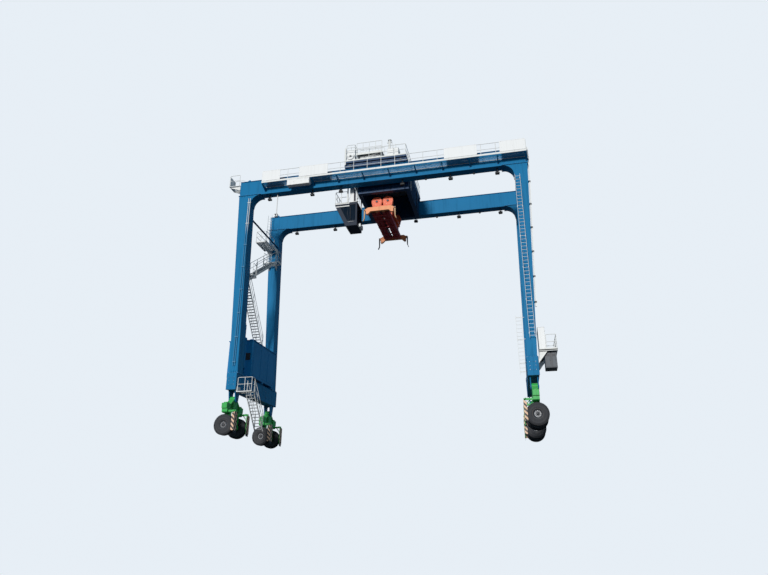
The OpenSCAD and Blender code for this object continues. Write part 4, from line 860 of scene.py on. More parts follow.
def side_platform():
    """The platform outside the right legs, with its electrical cabinet and hanging box."""
    x0, x1, y0, y1, z = 12.1353, 13.5653, -4.11, -0.91, 5.5
    fx, cx = x0 + 0.15, x0 + 0.64
    framed_floor((fx, y0, z - 0.08), (x1, y1, z))
    for a, b, c in ((fx, y0, y0 + 0.012), (fx, y1 - 0.012, y1), (x1 - 0.012, y0, y1)):
        block((a, b, z - 0.12), (x1, c, z + 0.1), rail_white, 0.003)
    guard_rail([(cx + 0.03, y0 + 0.026), (x1 - 0.026, y0 + 0.026), (x1 - 0.026, y1 - 0.026), (cx + 0.03, y1 - 0.026)],
               z, 0.85)
    cabinet_box((fx + 0.02, y0 + 0.2, z), (cx, y0 + 2.0, z + 1.75), RIGHT, board_white, 3)
    cabinet_box((fx + 0.35, y0 + 0.3, z - 1.3), (x1 - 0.1, y0 + 1.5, z - 0.085), NEAR, machine_grey, 2)
    for y in (y0 + 0.12, y1 - 0.12):
        plate([(x0, 4.84), (x0, 4.50), (fx + 0.55, z - 0.119), (fx, z - 0.119), (fx - 0.07, 4.84)], 0.016, ("xz", y),
              rail_white)
        plate([(x0, 4.50), (x0 + 0.02, 4.50), (fx + 0.57, z - 0.119), (fx + 0.55, z - 0.119)], 0.10, ("xz", y),
              rail_white)
        block((x0, y - 0.10, 4.46), (x0 + 0.016, y + 0.10, 4.86), rail_white, 0.004)
        bolt_square((x0 + 0.016, y, 4.66), (0, 0.07, 0.14), RIGHT, 0.016)
    for i in range(3):
        y = y0 + 0.5 + i * 0.16
        hose([(fx + 0.30, y, z - 0.02), (fx + 0.30, y, 4.9), (x0 + 0.03, y, 4.7)], 0.10, 0.022)
    fitted("cabinet_platform", "gantry", "access_white", "side_platform")


def flight(x, y0, z0, y1, z1):
    """One stair flight: channel stringers, grating treads and sloping handrails."""
    first = len(PARTS)
    count = round((z1 - z0) / 0.21)
    back = y0 if y1 > y0 else y0 - 0.24
    block((x - 0.32, y0 - 0.012, z0 - 0.062), (x + 0.32, y0 + 0.012, z0 - 0.030), rail_white, 0.003)
    repeat(slab((x, back + 0.012, z0 - 0.044), (0.32, 0.002, 0.014), grating_zinc), 8, (0, 0.030, 0))
    repeat(block((x - 0.32, back, z0 - 0.040), (x - 0.314, back + 0.24, z0 - 0.032), grating_zinc), 7, (0.104, 0, 0))
    tread = joined("treads", first=first)
    PARTS.append(repeat(tread, count, (0, (y1 - y0) / count, (z1 - z0) / count)))

    def on_rail(share, up):
        return (px, y0 + share * (y1 - y0), z0 + share * (z1 - z0) + up)

    for side in BOTH:
        px = x + side * 0.33
        for low, high, thick, out in ((-0.2, 0, 0.010, 0), (-0.2, -0.188, 0.05, 0.02), (-0.012, 0, 0.05, 0.02)):
            plate([(y0, z0 + low), (y1, z1 + low), (y1, z1 + high), (y0, z0 + high)], thick,
                  ("yz", px + side * out), rail_white)
        rail = [on_rail(0.04, 0.02), on_rail(0.04, RAIL_UP), on_rail(0.96, RAIL_UP), on_rail(0.96, 0.02)]
        tubes([bend_corners(rail, 0.06)], TUBE, rail_white, 10)
        tubes([[on_rail(0.04, 0.55), on_rail(0.96, 0.55)]], TUBE * 0.85, rail_white, 10)
        tubes([[on_rail(share, -0.06), on_rail(share, RAIL_UP)] for share in (0.08, 0.36, 0.64, 0.92)],
              TUBE * 0.88, rail_white, 10)


def stairs():
    """Two flights between the left legs and one at the sill."""
    edge = 2.2047
    flight(-12.435, edge - 0.1, 8.55, -edge, 14.0)
    flight(-11.715, -edge - 0.2, 14.2, edge, 17.5)
    flight(-10.385, -1.25, 0.9, -3.4, 3.51)
    fitted("stairs", "gantry", "access_white", "stair_flights")


def ladder(x, y, z0, z1, half=0.2):
    """A ladder facing Y: two flat stiles and round rungs."""
    for s in BOTH:
        block((x + s * half - 0.011, y - 0.03, z0), (x + s * half + 0.011, y + 0.03, z1), rail_white, 0.003)
    rung = rod((x - half, y, z0 + 0.15), (x + half, y, z0 + 0.15), 0.014, rail_white, 10)
    repeat(rung, int((z1 - z0) / 0.3), (0, 0, 0.3))


def landing(x0, x1, length, z, side):
    """A stair landing hung on a leg: grating floor, brackets, toe boards and side rails."""
    leg = 3.0247
    inner, tip = side * leg, side * (leg - length + 0.06)
    a, b = sorted((side * (leg - length), inner))
    framed_floor((x0, a, z - 0.08), (x1, b, z))
    for x in (x0, x1 - 0.008):
        block((x, a, z - 0.01), (x + 0.008, b, z + 0.11), rail_white, 0.002)
    for x in (-HALF_SPAN - 0.22 - (z - SILL_TOP) * 0.0432, -HALF_SPAN + 0.22 - (z - SILL_TOP) * 0.0161):
        bracket(("yz", x), [(inner, z - 0.08), (tip, z - 0.08), (tip, z - 0.14), (inner, z - 0.6)], 0.014, rail_white)
    for x in (x0 + 0.03, x1 - 0.03):
        guard_rail([(x, side * (leg - length + 0.04)), (x, side * (leg - 0.08))], z, 0.8)


def landings():
    """The three landings of the left side, the ladders from them, and the sill's small platform."""
    landing(-12.865, -11.285, 0.82, 14.0, -1)
    landing(-12.865, -11.285, 0.82, 17.5, 1)
    landing(-13.2, -12.15, 2.1, 19.2, 1)
    guard_rail([(-13.17, 0.955), (-12.18, 0.955)], 19.2, 0.6)
    ladder(-12.435, 2.695, 17.5, 19.12)
    ladder(-12.755, 2.795, 19.2, 23.05)
    for s in BOTH:
        for z, reach in ((20.7, 3.0247), (21.46, 3.1197)):
            x = -12.755 + s * 0.2
            block((x - 0.012, 2.82, z), (x + 0.012, reach, z + 0.02), rail_white, 0.003)
    framed_floor((-11.33, -4.0, 3.45), (-10.005, -3.4, 3.51))
    block((-11.33, -4.0, 3.51), (-11.27, -3.4, 3.9), rail_white, 0.006)
    guard_rail([(-10.04, -3.42), (-10.04, -3.97), (-11.24, -3.97)], 3.51, 0.7)
    fitted("landings", "gantry", "access_white", "stair_landings")


def leg_ladders():
    """The long ladder on the near right leg and the short one inside it, with their brackets."""
    x, y = HALF_SPAN + 0.165, -4.275
    ladder(x, y, 6.4, 20.25)
    for z in [6.8 + 2.65 * i for i in range(6)]:
        for s in BOTH:
            block((x + s * 0.2 - 0.008, y + 0.029, z), (x + s * 0.2 + 0.008, -3.976, z + 0.06), rail_white, 0.002)
            block((x + s * 0.2 - 0.03, -3.986, z - 0.03), (x + s * 0.2 + 0.03, -3.976, z + 0.09), rail_white, 0.002)
    inner = HALF_SPAN - 0.72
    ladder(inner, -FRAME_Y, 3.9, 8.4)
    for z in (4.05, 4.7):
        for s in BOTH:
            block((inner + s * 0.2 - 0.012, -3.52, z), (11.3347, -3.48, z + 0.04), rail_white, 0.003)
    for z in (6.5, 8.2):
        block((inner - 0.2, -3.52, z), (11.389 + (z - 6.5) * 0.016, -3.48, z + 0.04), rail_white, 0.003)
    fitted("leg_ladders", "gantry", "access_white", "leg_ladder")


def camera_and_box():
    """Doors of the cable box under the walkway, and the watch camera on its pole."""
    left, front, bottom, top, width = -7.94, -4.69, 21.55, 22.0997, 2.06 / 3
    for i in range(3):
        a = left + i * width
        door = block((a + 0.02, front - 0.008, bottom + 0.03), (a + width - 0.02, front + 0.004, top - 0.03),
                     board_white, 0.003)
        inset_side(door, NEAR, 0.03, 0.005)
        post(a + width - 0.06, front - 0.014, 21.78, 21.88, 0.008, bolt_zinc, 8)
    px = -0.79 * HALF_SPAN
    turned([(0.0, 0.05), (0.05, 0.05), (0.062, 0.035), (0.062, 0.0)], (px, -3.61, 19.29), NEAR, black_iron_and_painted_shade, 24)
    turned([(0.0, 0.004), (0.040, 0.002), (0.045, 0.0)], (px, -3.66, 19.29), NEAR, glass_tint, 24)
    block((px - 0.16, -3.66, 19.385), (px + 0.16, -3.38, 19.40), black_iron_and_painted_shade, 0.003)
    block((px - 0.09, -3.59, 21.436), (px + 0.09, -3.41, 21.45), black_iron_and_painted_shade, 0.003)
    bolt_square((px, -3.5, 21.436), (0.07, 0.07, 0), DOWN, 0.012)
    fitted("cable_box_doors", "gantry", "access_white")


girder_trim()
flange_bolts()
sill_trim()
walkway_floors()
walkway_rails()
sign_boards()
floodlights()
power_house_trim()
silencer_trim()
side_platform()
stairs()
landings()
leg_ladders()
camera_and_box()

# Trolley

DECK = 23.83
TX0, TX1 = -2.95, 2.65
RAISED = (-1.90, 0.50, -3.75, -2.55, 24.58)
SHEAVE_TOP = 24.25


def trolley_rails():
    """Handrails round the trolley deck and its raised platform, and the toe boards."""
    y = 3.81
    x0, x1 = TX0 + 0.04, TX1 - 0.04
    guard_rail([(x0, -y), (x1, -y), (x1, y), (x0, y), (x0, -y + 0.06)], DECK, 1.15)
    rx0, rx1, ry0, ry1, rz = RAISED
    for yy in (ry0 + 0.04, ry1 - 0.04):
        guard_rail([(rx0 + 0.04, yy), (rx1 - 0.04, yy)], rz, 0.6)
    for a, b in (((x0 - 0.035, -y - 0.035), (x1 + 0.035, -y - 0.027)),
                 ((x0 - 0.035, y + 0.027), (x1 + 0.035, y + 0.035)), ((x0 - 0.035, -y), (x0 - 0.027, y)),
                 ((x1 + 0.027, -y), (x1 + 0.035, y))):
        block((*a, DECK - 0.05), (*b, DECK + 0.10), rail_white, 0.002)
    fitted("trolley_rails", "trolley", "access_white", "trolley_handrail")


def deck_trim():
    """Edge channels under the deck, a ladder to the raised platform and its cross bars."""
    for s in BOTH:
        y = s * 3.85
        # The edge channels and outriggers take the navy of painted shade.
        block((TX0, y, 23.62), (TX1, y - s * 0.07, 23.632), trolley_painted_shade_blue, 0.002)
        block((TX0, y, 23.62), (TX1, y - s * 0.01, 23.779), trolley_painted_shade_blue, 0.002)
        outrigger = plate([(s * 3.71, 23.779), (s * 3.84, 23.779), (s * 3.84, 23.43), (s * 3.71, 23.42)], 0.012,
                          ("yz", TX0 + 0.2), trolley_painted_shade_blue)
        repeat(outrigger, 8, (0.74, 0, 0))
    rx0, rx1, ry0, ry1, rz = RAISED
    for y, s in ((ry0, -1), (ry1, 1)):
        block((rx0 - 0.02, y, rz - 0.17), (rx1 + 0.02, y + s * 0.02, rz + 0.04), rail_white, 0.005)
    block((TX0 + 0.01, -3.86, 23.45), (TX0 + 0.13, -3.74, 25.25), rail_white, 0.012)
    for y in (ry0 + 0.06, ry1 - 0.06):
        tubes([[(rx0 + 0.06, y, DECK + 0.05), (rx1 - 0.06, y, rz - 0.1)]], 0.018, rail_white)
    ladder(rx0 + 1.2, ry1 + 0.05, DECK + 0.001, rz + 0.9)
    for x in (rx0 + 0.06, rx1 - 0.06):
        for y in (ry0 + 0.06, ry1 - 0.06):
            block((x - 0.075, y - 0.075, DECK - 0.001), (x + 0.075, y + 0.075, DECK + 0.012), rail_white, 0.002)
            bolt_square((x, y, DECK + 0.012), (0.058, 0.058, 0), UP, 0.010)
    fitted("deck_trim", "trolley", "access_white")


def trolley_cabinets():
    """Cabinets on the deck, with a mast, thin poles, a railed top and a fan cowl."""
    long, wide = TX1 - TX0, 7.7
    z = DECK + 0.0003
    for x, y, a, b, h, facing, doors in ((0.02, 0.03, 0.14, 0.12, 1.25, FAR, 1),
                                         (0.24, 0.05, 0.33, 0.09, 0.55, FAR, 3),
                                         (0.69, 0.03, 0.18, 0.11, 0.90, FAR, 2),
                                         (0.05, 0.66, 0.21, 0.24, 1.30, NEAR, 2)):
        low = (TX0 + x * long, -3.85 + y * wide, z)
        cabinet_box(low, (low[0] + a * long, low[1] + b * wide, z + h + 0.03), facing, board_white, doors)
    mx, my = TX0 + 0.72 * long, -3.85 + 0.08 * wide
    post(mx, my, z + 0.93, z + 2.05, 0.075, rail_white)
    post(mx, my, z + 0.93, z + 0.95, 0.11, rail_white, 24, 0.004)
    bolt_ring((mx, my, z + 0.95), UP, 0.085, 6, 0.009)
    slab((mx, my, z + 2.064), (0.15, 0.15, 0.015), rail_white, 0.006)
    for k in BOTH:
        turned([(0.0, 0.0), (0.05, 0.0), (0.085, 0.10), (0.095, 0.11), (0.095, 0.13), (0.0, 0.13)],
               (mx + k * 0.07, my, z + 1.85), (k, 0, 0), board_white, 24)
    guard_rail([(TX0 + 0.13, -3.60), (TX0 + 0.88, -3.60), (TX0 + 0.88, -2.72)], z + 1.28, 0.6, 0.55)
    for x, low, high in ((-2.52, 1.27, 1.92), (-2.10, 1.27, 1.74), (0.97, 0.92, 1.85), (1.30, 0.92, 1.75),
                         (1.62, 0.92, 1.62)):
        post(x, my, z + low, z + high, 0.026, rail_white, 12, 0.006)
        post(x, my, z + low, z + low + 0.05, 0.05, rail_white, 16, 0.006)
    fan = (TX0 + 0.505, -3.618, z + 0.62)
    turned([(0.345, 0.0), (0.350, 0.06), (0.335, 0.09), (0.290, 0.10), (0.115, 0.07), (0.11, 0.03)], fan, NEAR,
           board_white, 48)
    turned([(0.0, 0.055), (0.05, 0.05), (0.115, 0.035), (0.115, 0.03)], fan, NEAR, black_iron_and_painted_shade)
    bolt_ring((fan[0], fan[1] - 0.098, fan[2]), NEAR, 0.305, 10, 0.011)
    fitted("cabinet_bodies", "trolley", "access_white", "trolley_cabinets")


def hoist_trim():
    """Rope on the drum, the brake, motor fins, gear case cover and sheave bolts."""
    z = DECK + 0.55
    radius, step, turns, sides = 0.392, 0.1, 22, 18
    wound = [(HOIST_X - 1.08 + i / sides * step, radius * math.cos(2 * math.pi * i / sides),
              z + radius * math.sin(2 * math.pi * i / sides)) for i in range(turns * sides + 1)]
    tubes([wound], 0.014, rope_strands, 6)
    for s in BOTH:
        cap = (HOIST_X + s * 1.382, 0, z)
        turned([(0.0, 0.06), (0.06, 0.06), (0.085, 0.045), (0.17, 0.04), (0.17, 0.0)], cap, (s, 0, 0), machine_grey)
        bolt_ring((cap[0] + s * 0.041, 0, z), (s, 0, 0), 0.13, 8, 0.014)
        bolt_square((HOIST_X + s * 1.30, 0, DECK + 0.03), (0.12, 0.40, 0), UP, 0.02)
        slab((HOIST_X + s * 1.30, 0, DECK + 0.015), (0.16, 0.46, 0.015), machine_grey, 0.004)
    fin = turned([(0.215, 0), (0.252, 0), (0.252, 0.012), (0.215, 0.012), (0.215, 0)], (0.66, 0.75, z - 0.1), RIGHT,
                 machine_grey)
    repeat(fin, 17, (0.048, 0, 0))
    block((0.9, 0.62, z + 0.12), (1.2, 0.88, z + 0.20), machine_grey, 0.01)
    turned([(0.0, 0.10), (0.15, 0.09), (0.20, 0.05), (0.205, 0.0)], (0.481, 0.75, z - 0.1), LEFT, machine_grey)
    cover = [(-0.40, z - 0.35), (1.0, z - 0.35), (1.0, z - 0.06), (0.86, z + 0.10), (0.29, z + 0.27),
             (-0.29, z + 0.27), (-0.40, z + 0.12)]
    plate(cover, 0.02, ("yz", 1.89), machine_grey, 0.006)
    bolts([(1.90, y, zz) for y, zz in ((-0.36, z - 0.31), (0.3, z - 0.31), (0.96, z - 0.31), (0.96, z - 0.08),
                                       (0.84, z + 0.07), (0.28, z + 0.23), (-0.27, z + 0.23), (-0.36, z + 0.1))],
          RIGHT, 0.016)
    block((1.478, -0.451, DECK + 0.1), (1.88, -0.47, z + 0.1), machine_grey, 0.004)
    for sx, sy in SIGNS:
        x, y = HOIST_X + sx * 0.5, sy * 1.8
        for s in BOTH:
            bolt_ring((x, y + s * 0.111, DECK + 0.42), (0, s, 0), 0.04, 4, 0.009)
            slab((x, y + s * 0.09, DECK + 0.008), (0.22, 0.05, 0.008), machine_grey, 0.003)
        grip((x - 0.4, y, DECK + 0.30), (0, 0, 0.56), (0.8, 0, 0), 0.2, 0.012, bolt_zinc)
    fitted("hoist_trim", "trolley", "machine_grey")


def carriage_trim():
    """Wheel hubs, travel motors, rubber buffers and rail sweeps of the trolley frame."""
    wheel_z = RAIL_TOP + 0.0003 + 0.315
    for s in BOTH:
        y = s * FRAME_Y
        for x in (TX0 + 0.5, TX1 - 0.5):
            out = y + s * 0.27
            turned([(0, 0.03), (0.07, 0.03), (0.10, 0.012), (0.10, 0)], (x, out, wheel_z), (0, s, 0), machine_grey,
                   28)
            bolt_ring((x, out + s * 0.02, wheel_z), (0, s, 0), 0.075, 6, 0.010)
        for x, k in ((TX0, -1), (TX1, 1)):
            turned([(0.0, 0.06), (0.06, 0.058), (0.085, 0.035), (0.09, 0.0)], (x, y, 23.505), (k, 0, 0), cable_black,
                   28)
            block((x - k * 0.02, y - 0.06, RAIL_TOP + 0.012), (x - k * 0.10, y + 0.06, RAIL_TOP + 0.13), machine_grey,
                  0.006)
        x, drive_y = TX1 - 0.5, y - s * 0.34
        block((x - 0.17, drive_y - 0.12, wheel_z - 0.19), (x + 0.17, drive_y + 0.12, wheel_z + 0.16), machine_grey,
              0.015)
        post(x - 0.02, drive_y, wheel_z + 0.15, wheel_z + 0.31, 0.10, machine_grey, 20, 0.01)
        for x0 in (-2.2, -1.1, 0.0, 1.1):
            # Stiffeners in the navy of painted shade.
            block((x0, y + s * 0.2099, 23.28), (x0 + 0.016, y + s * 0.265, 23.76), trolley_painted_shade_blue)
    fitted("carriage_trim", "trolley", "portal_blue")


def well_trim():
    """Stiffeners, rim angle, service ladder and cables on the rope well's outside."""
    x0, x1, y, z0, z1 = -1.90, 2.65, 2.75, 20.95, 23.2297
    for s in BOTH:
        a, b = s * y, s * (y + 0.06)
        # Stiffeners and rim angles in the navy of painted shade.
        repeat(block((x0 + 0.35, a, z0 + 0.06), (x0 + 0.362, b, z1 - 0.02), trolley_painted_shade_blue), 7, (0.64, 0, 0))
        block((x0, a, z0), (x1, b, z0 + 0.012), trolley_painted_shade_blue, 0.003)
    for a, b in ((x0, x0 - 0.06), (x1, x1 + 0.06)):
        repeat(block((a, -y + 0.4, z0 + 0.06), (b, -y + 0.412, z1 - 0.02), trolley_painted_shade_blue), 8, (0, 0.67, 0))
        block((a, -y, z0), (b, y, z0 + 0.012), trolley_painted_shade_blue, 0.003)
    rx = x1 + 0.13
    repeat(rod((rx, -2.45, 21.3), (rx, -2.05, 21.3), 0.012, rail_white, 8), 8, (0, 0, 0.28))
    for yy in (-2.45, -2.05):
        block((rx - 0.03, yy - 0.012, 21.15), (rx + 0.03, yy + 0.012, 23.6), rail_white, 0.003)
        for z in (21.4, 23.0):
            block((x1, yy - 0.012, z), (rx - 0.02, yy + 0.012, z + 0.03), rail_white, 0.002)
    for i in range(4):
        yy = 1.4 + i * 0.09
        hose([(x1 + 0.03, yy, 23.2), (x1 + 0.03, yy, 21.3), (x1 - 0.2, yy, 20.97)], 0.08, 0.016)
    block((x1, 1.30, 22.0), (x1 + 0.05, 1.80, 22.05), bolt_zinc, 0.004)
    fitted("well_trim", "trolley", "portal_blue")


# The cab's front brow and back, its floor's front, its sides, its bottom and top.
CAB = (-4.0, -1.98, -3.0, -2.83, -1.13, 17.9, 20.2)


def cab_trim():
    """Window rubbers, wiper, lamps, seat and desk, door handle and cooler of the driver's cab."""
    x0, x1, floor, y0, y1, z0, z1 = CAB
    mid, a, b = (y0 + y1) / 2, y0 + 0.15, y1 - 0.15

    def on_front(share, y, out=0.004):
        """A point a little in front of the slanting pane."""
        return (floor - share - out, y, z0 + share * (z1 - 0.2 - z0))

    side = [(floor + 0.15, z0 + 0.5), (x1 - 0.15, z0 + 0.5), (x1 - 0.15, z1 - 0.25), (floor - 0.6, z1 - 0.25)]
    for y, s in ((y0, -1), (y1, 1)):
        tubes([[(x, y + s * 0.004, z) for x, z in side]], 0.016, black_iron_and_painted_shade, closed=True)
        tubes([[(-2.55, y + s * 0.004, z0 + 0.5), (-2.55, y + s * 0.004, z1 - 0.25)]], 0.014, black_iron_and_painted_shade)
        grip((-2.75, y, 18.25), (0, s * 0.07, 0), (0.5, 0, 0), 0.03, 0.012, rail_white)
    tubes([[on_front(0.08, a), on_front(0.08, b), on_front(0.97, b), on_front(0.97, a)]], 0.018, black_iron_and_painted_shade,
          closed=True)
    tubes([[on_front(0.08, mid), on_front(0.97, mid)]], 0.014, black_iron_and_painted_shade)
    rear = [(x1 + 0.004, y, z) for y, z in ((a, z0 + 0.4), (b, z0 + 0.4), (b, z1 - 0.25), (a, z1 - 0.25))]
    tubes([rear], 0.016, black_iron_and_painted_shade, closed=True)
    tubes([[on_front(0.9, mid - 0.35, 0.03), on_front(0.55, mid - 0.2, 0.035)],
           [on_front(0.72, mid - 0.27, 0.035), on_front(0.38, mid - 0.27, 0.03)]], 0.009, black_iron_and_painted_shade, 6)
    for y in (y0 + 0.3, y1 - 0.3):
        turned([(0.0, 0.10), (0.06, 0.095), (0.075, 0.08), (0.075, 0.0), (0.06, 0.004), (0.0, 0.004)],
               (x0 + 0.05, y, z1 - 0.09), (-0.9, 0, -0.45), black_iron_and_painted_shade, 24)
    block((x0, y0 + 0.02, z1 - 0.195), (x0 + 0.02, y1 - 0.02, z1 - 0.005), cab_dark, 0.005)
    for left, z in ((x0 + 0.01, z1 - 0.11), (x0 + 0.08, z1 - 0.38)):
        block((left, y0 - 0.014, z), (-2.68, y0 + 0.001, z + 0.09), rail_white, 0.004)
    for left, right, half, low, high, edge in ((-2.75, -2.28, 0.26, 18.38, 18.50, 0.04),
                                               (-2.36, -2.24, 0.25, 18.46, 19.12, 0.05),
                                               (-2.35, -2.25, 0.14, 19.14, 19.34, 0.04)):
        block((left, mid - half, low), (right, mid + half, high), black_iron_and_painted_shade, edge, 3)
    block((-2.62, mid - 0.12, 17.96), (-2.42, mid + 0.12, 18.39), machine_grey, 0.02)
    for desk in (mid - 0.42, mid + 0.42):
        block((-2.95, desk - 0.12, 18.05), (-2.40, desk + 0.12, 18.62), machine_grey, 0.03, 2)
        rod((-2.85, desk, 18.62), (-2.87, desk, 18.78), 0.014, black_iron_and_painted_shade, 10)
    cooler = block((x1 - 0.001, y0 + 0.5, 17.98), (x1 + 0.22, y1 - 0.35, 18.27), board_white, 0.012)
    inset_side(cooler, RIGHT, 0.04, 0.01)
    slat = block((x1 + 0.205, y0 + 0.56, 18.03), (x1 + 0.225, y1 - 0.41, 18.038), board_white)
    repeat(slat, 7, (0, 0, 0.03))
    for y in (y0 + 0.04, y1 - 0.10):
        block((floor + 0.03, y, 17.88), (x1 - 0.02, y + 0.06, 17.902), cab_dark, 0.004)
    fitted("cab_trim", "trolley", "machine_grey")


def balcony():
    """The balcony on the cab roof, its hangers, locker, rails and the ladder to the deck."""
    x0, x1, floor, y0, y1, _, roof = CAB
    z, top, locker = roof + 0.0003, roof + 0.0503, x0 + 1.35
    framed_floor((x0, y0, z), (x1, y1, top))
    block((x0, y0, z), (x1, y1, z + 0.012), rail_white, 0.003)
    guard_rail([(floor + 0.1, y0 + 0.026), (x0 + 0.026, y0 + 0.026), (x0 + 0.026, y1 - 0.026)], top, 0.6)
    cabinet_box((locker, y0 + 0.06, top), (locker + 0.35, y0 + 0.6, z + 1.5), LEFT, board_white, 1)
    for y in (y0 + 0.07, y1 - 0.07):
        for x, high in ((TX0 + 0.09, 23.2297), (x1 - 0.05, 23.7797)):
            block((x - 0.05, y - 0.05, top), (x + 0.05, y + 0.05, high), rail_white, 0.012, 2)
            for z in (top + 0.007, high - 0.007):
                slab((x, y, z), (0.09, 0.09, 0.007), rail_white, 0.003)
            bolt_square((x, y, top + 0.014), (0.07, 0.07, 0), UP, 0.009)
        tubes([[(TX0 + 0.14, y, top + 0.15), (x1 - 0.1, y, 22.2)]], 0.022, rail_white)
    ladder(-2.35, y1 - 0.30, top, 23.4, 0.18)
    fitted("balcony", "trolley", "access_white", "cab_balcony")


def hoist_ropes():
    """Eight wire ropes that stretch straight between the trolley and the head block."""
    for sx, sy in SIGNS:
        for reach in (-0.3283, 0.3283):
            post(HOIST_X + sx * 0.5 + reach, sy * 1.8, SHEAVE_Z, SHEAVE_TOP, 0.013, rope_strands, 12)
    piece = joined("wire_ropes", 60)
    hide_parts("hoist_ropes")
    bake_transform(piece)


trolley_rails()
deck_trim()
trolley_cabinets()
hoist_trim()
carriage_trim()
well_trim()
cab_trim()
balcony()
hoist_ropes()

# Head block and spreader

ARM_Z = 19.09
SHEAVE_R = 0.48
SHEAVE_HALF = 0.14


def head_block_trim():
    """Rim bands, hub caps, cheek bolts, junction box and hoses of the head block."""
    z = SHEAVE_Z
    for sx in BOTH:
        for sy in BOTH:
            x, y = HOIST_X + sx * 0.5, sy * 1.8
            for s in BOTH:
                side = y + s * SHEAVE_HALF
                turned([(0.0, 0.045), (0.07, 0.045), (0.10, 0.03), (0.10, 0.0)], (x, side + s * 0.028, z), (0, s, 0),
                       machine_grey, 28)
                turned([(SHEAVE_R - 0.06, 0), (SHEAVE_R - 0.052, 0.014), (SHEAVE_R - 0.012, 0.014),
                        (SHEAVE_R - 0.004, 0.0)], (x, side, z), (0, s, 0), head_orange, 56)
                bolt_ring((x, side, z), (0, s, 0), SHEAVE_R * 0.62, 8, 0.014)
    for k in BOTH:
        for s in BOTH:
            x, y = HOIST_X + k * 0.7, s * 1.4
            block((x - 0.14, y - 0.14, 19.735), (x + 0.14, y + 0.14, 19.751), head_orange, 0.003)
            bolts([(x + dx, y + dy, 19.735) for dx in (-0.115, 0.115) for dy in (-0.115, 0.115)], DOWN, 0.016)
        for y in (-0.9, 0.0, 0.9):
            low = HOIST_X + k * 0.83
            block((low, y - 0.006, 19.77), (low + k * 0.05, y + 0.006, 19.99), head_orange)
    cabinet_box((HOIST_X - 0.42, -0.55, 19.80), (HOIST_X + 0.42, 0.15, 20.25), NEAR, machine_grey, 2)
    block((HOIST_X - 0.60, -0.60, 19.77), (HOIST_X + 0.60, 0.95, 19.80), head_orange, 0.004)
    coil = [(HOIST_X + 0.27 * math.cos(2 * math.pi * i / 20), 0.55 + 0.27 * math.sin(2 * math.pi * i / 20),
             19.83 + 0.045 * i / 20) for i in range(20 * 6 + 1)]
    tubes([coil], 0.020, cable_black, 8)
    bars = [[(HOIST_X + 0.33 * math.cos(t), 0.55 + 0.33 * math.sin(t), 19.80),
             (HOIST_X + 0.36 * math.cos(t), 0.55 + 0.36 * math.sin(t), 20.15)]
            for t in [2 * math.pi * i / 14 for i in range(14)]]
    tubes(bars, 0.010, bolt_zinc, 6)
    ring = [(HOIST_X + 0.36 * math.cos(2 * math.pi * i / 28), 0.55 + 0.36 * math.sin(2 * math.pi * i / 28), 20.15)
            for i in range(28)]
    tubes([ring], 0.014, bolt_zinc, closed=True)
    fitted("head_block_trim", "hoist", "head_orange")


def spreader_trim():
    """Bracing, power pack, chain tray, hoses and wear pads of the spreader's middle frame."""
    low = ARM_Z - 0.18
    for a, b in ((-2.2, -1.4), (-1.4, 0.0), (0.0, 1.4), (1.4, 2.2)):
        tubes([[(HOIST_X - 0.55, a + 0.1, low - 0.02), (HOIST_X + 0.55, b - 0.1, low - 0.02)],
               [(HOIST_X + 0.55, a + 0.1, low - 0.02), (HOIST_X - 0.55, b - 0.1, low - 0.02)]], 0.020, spreader_red)
    cabinet_box((HOIST_X - 0.19, -0.75, ARM_Z + 0.165), (HOIST_X + 0.19, 0.35, ARM_Z + 0.44), NEAR, machine_grey, 1,
                0.01)
    rod((HOIST_X, 0.36, ARM_Z + 0.30), (HOIST_X, 0.78, ARM_Z + 0.30), 0.11, machine_grey, 24, 0.012)
    block((HOIST_X - 0.19, -0.80, ARM_Z + 0.145), (HOIST_X + 0.19, 0.85, ARM_Z + 0.165), spreader_red, 0.003)
    for k in BOTH:
        for y in (-2.62, 2.62):
            for x in (0.3, 0.64):
                block((HOIST_X + k * x - 0.15, y - 0.03, ARM_Z + 0.142),
                      (HOIST_X + k * x + 0.15, y + 0.03, ARM_Z + 0.156), spreader_red, 0.003)
                bolts([(HOIST_X + k * x + dx, y, ARM_Z + 0.156) for dx in (-0.08, 0.08)], UP, 0.012)
        tubes([bend_corners([(HOIST_X + k * 0.10, -2.5, ARM_Z + 0.05), (HOIST_X + k * 0.10, -0.9, ARM_Z + 0.05),
                             (HOIST_X + k * 0.10, -0.74, ARM_Z + 0.24)], 0.08),
               bend_corners([(HOIST_X + k * 0.14, 2.5, ARM_Z + 0.05), (HOIST_X + k * 0.14, 0.9, ARM_Z + 0.05),
                             (HOIST_X + k * 0.14, 0.3, ARM_Z + 0.2)], 0.08)], 0.013, cable_black)
    link = block((HOIST_X - 0.05, -2.4, 18.921), (HOIST_X + 0.05, -2.34, 18.97), black_iron_and_painted_shade, 0.006)
    repeat(link, 60, (0, 0.08, 0))
    fitted("spreader_trim", "hoist", "spreader_red")


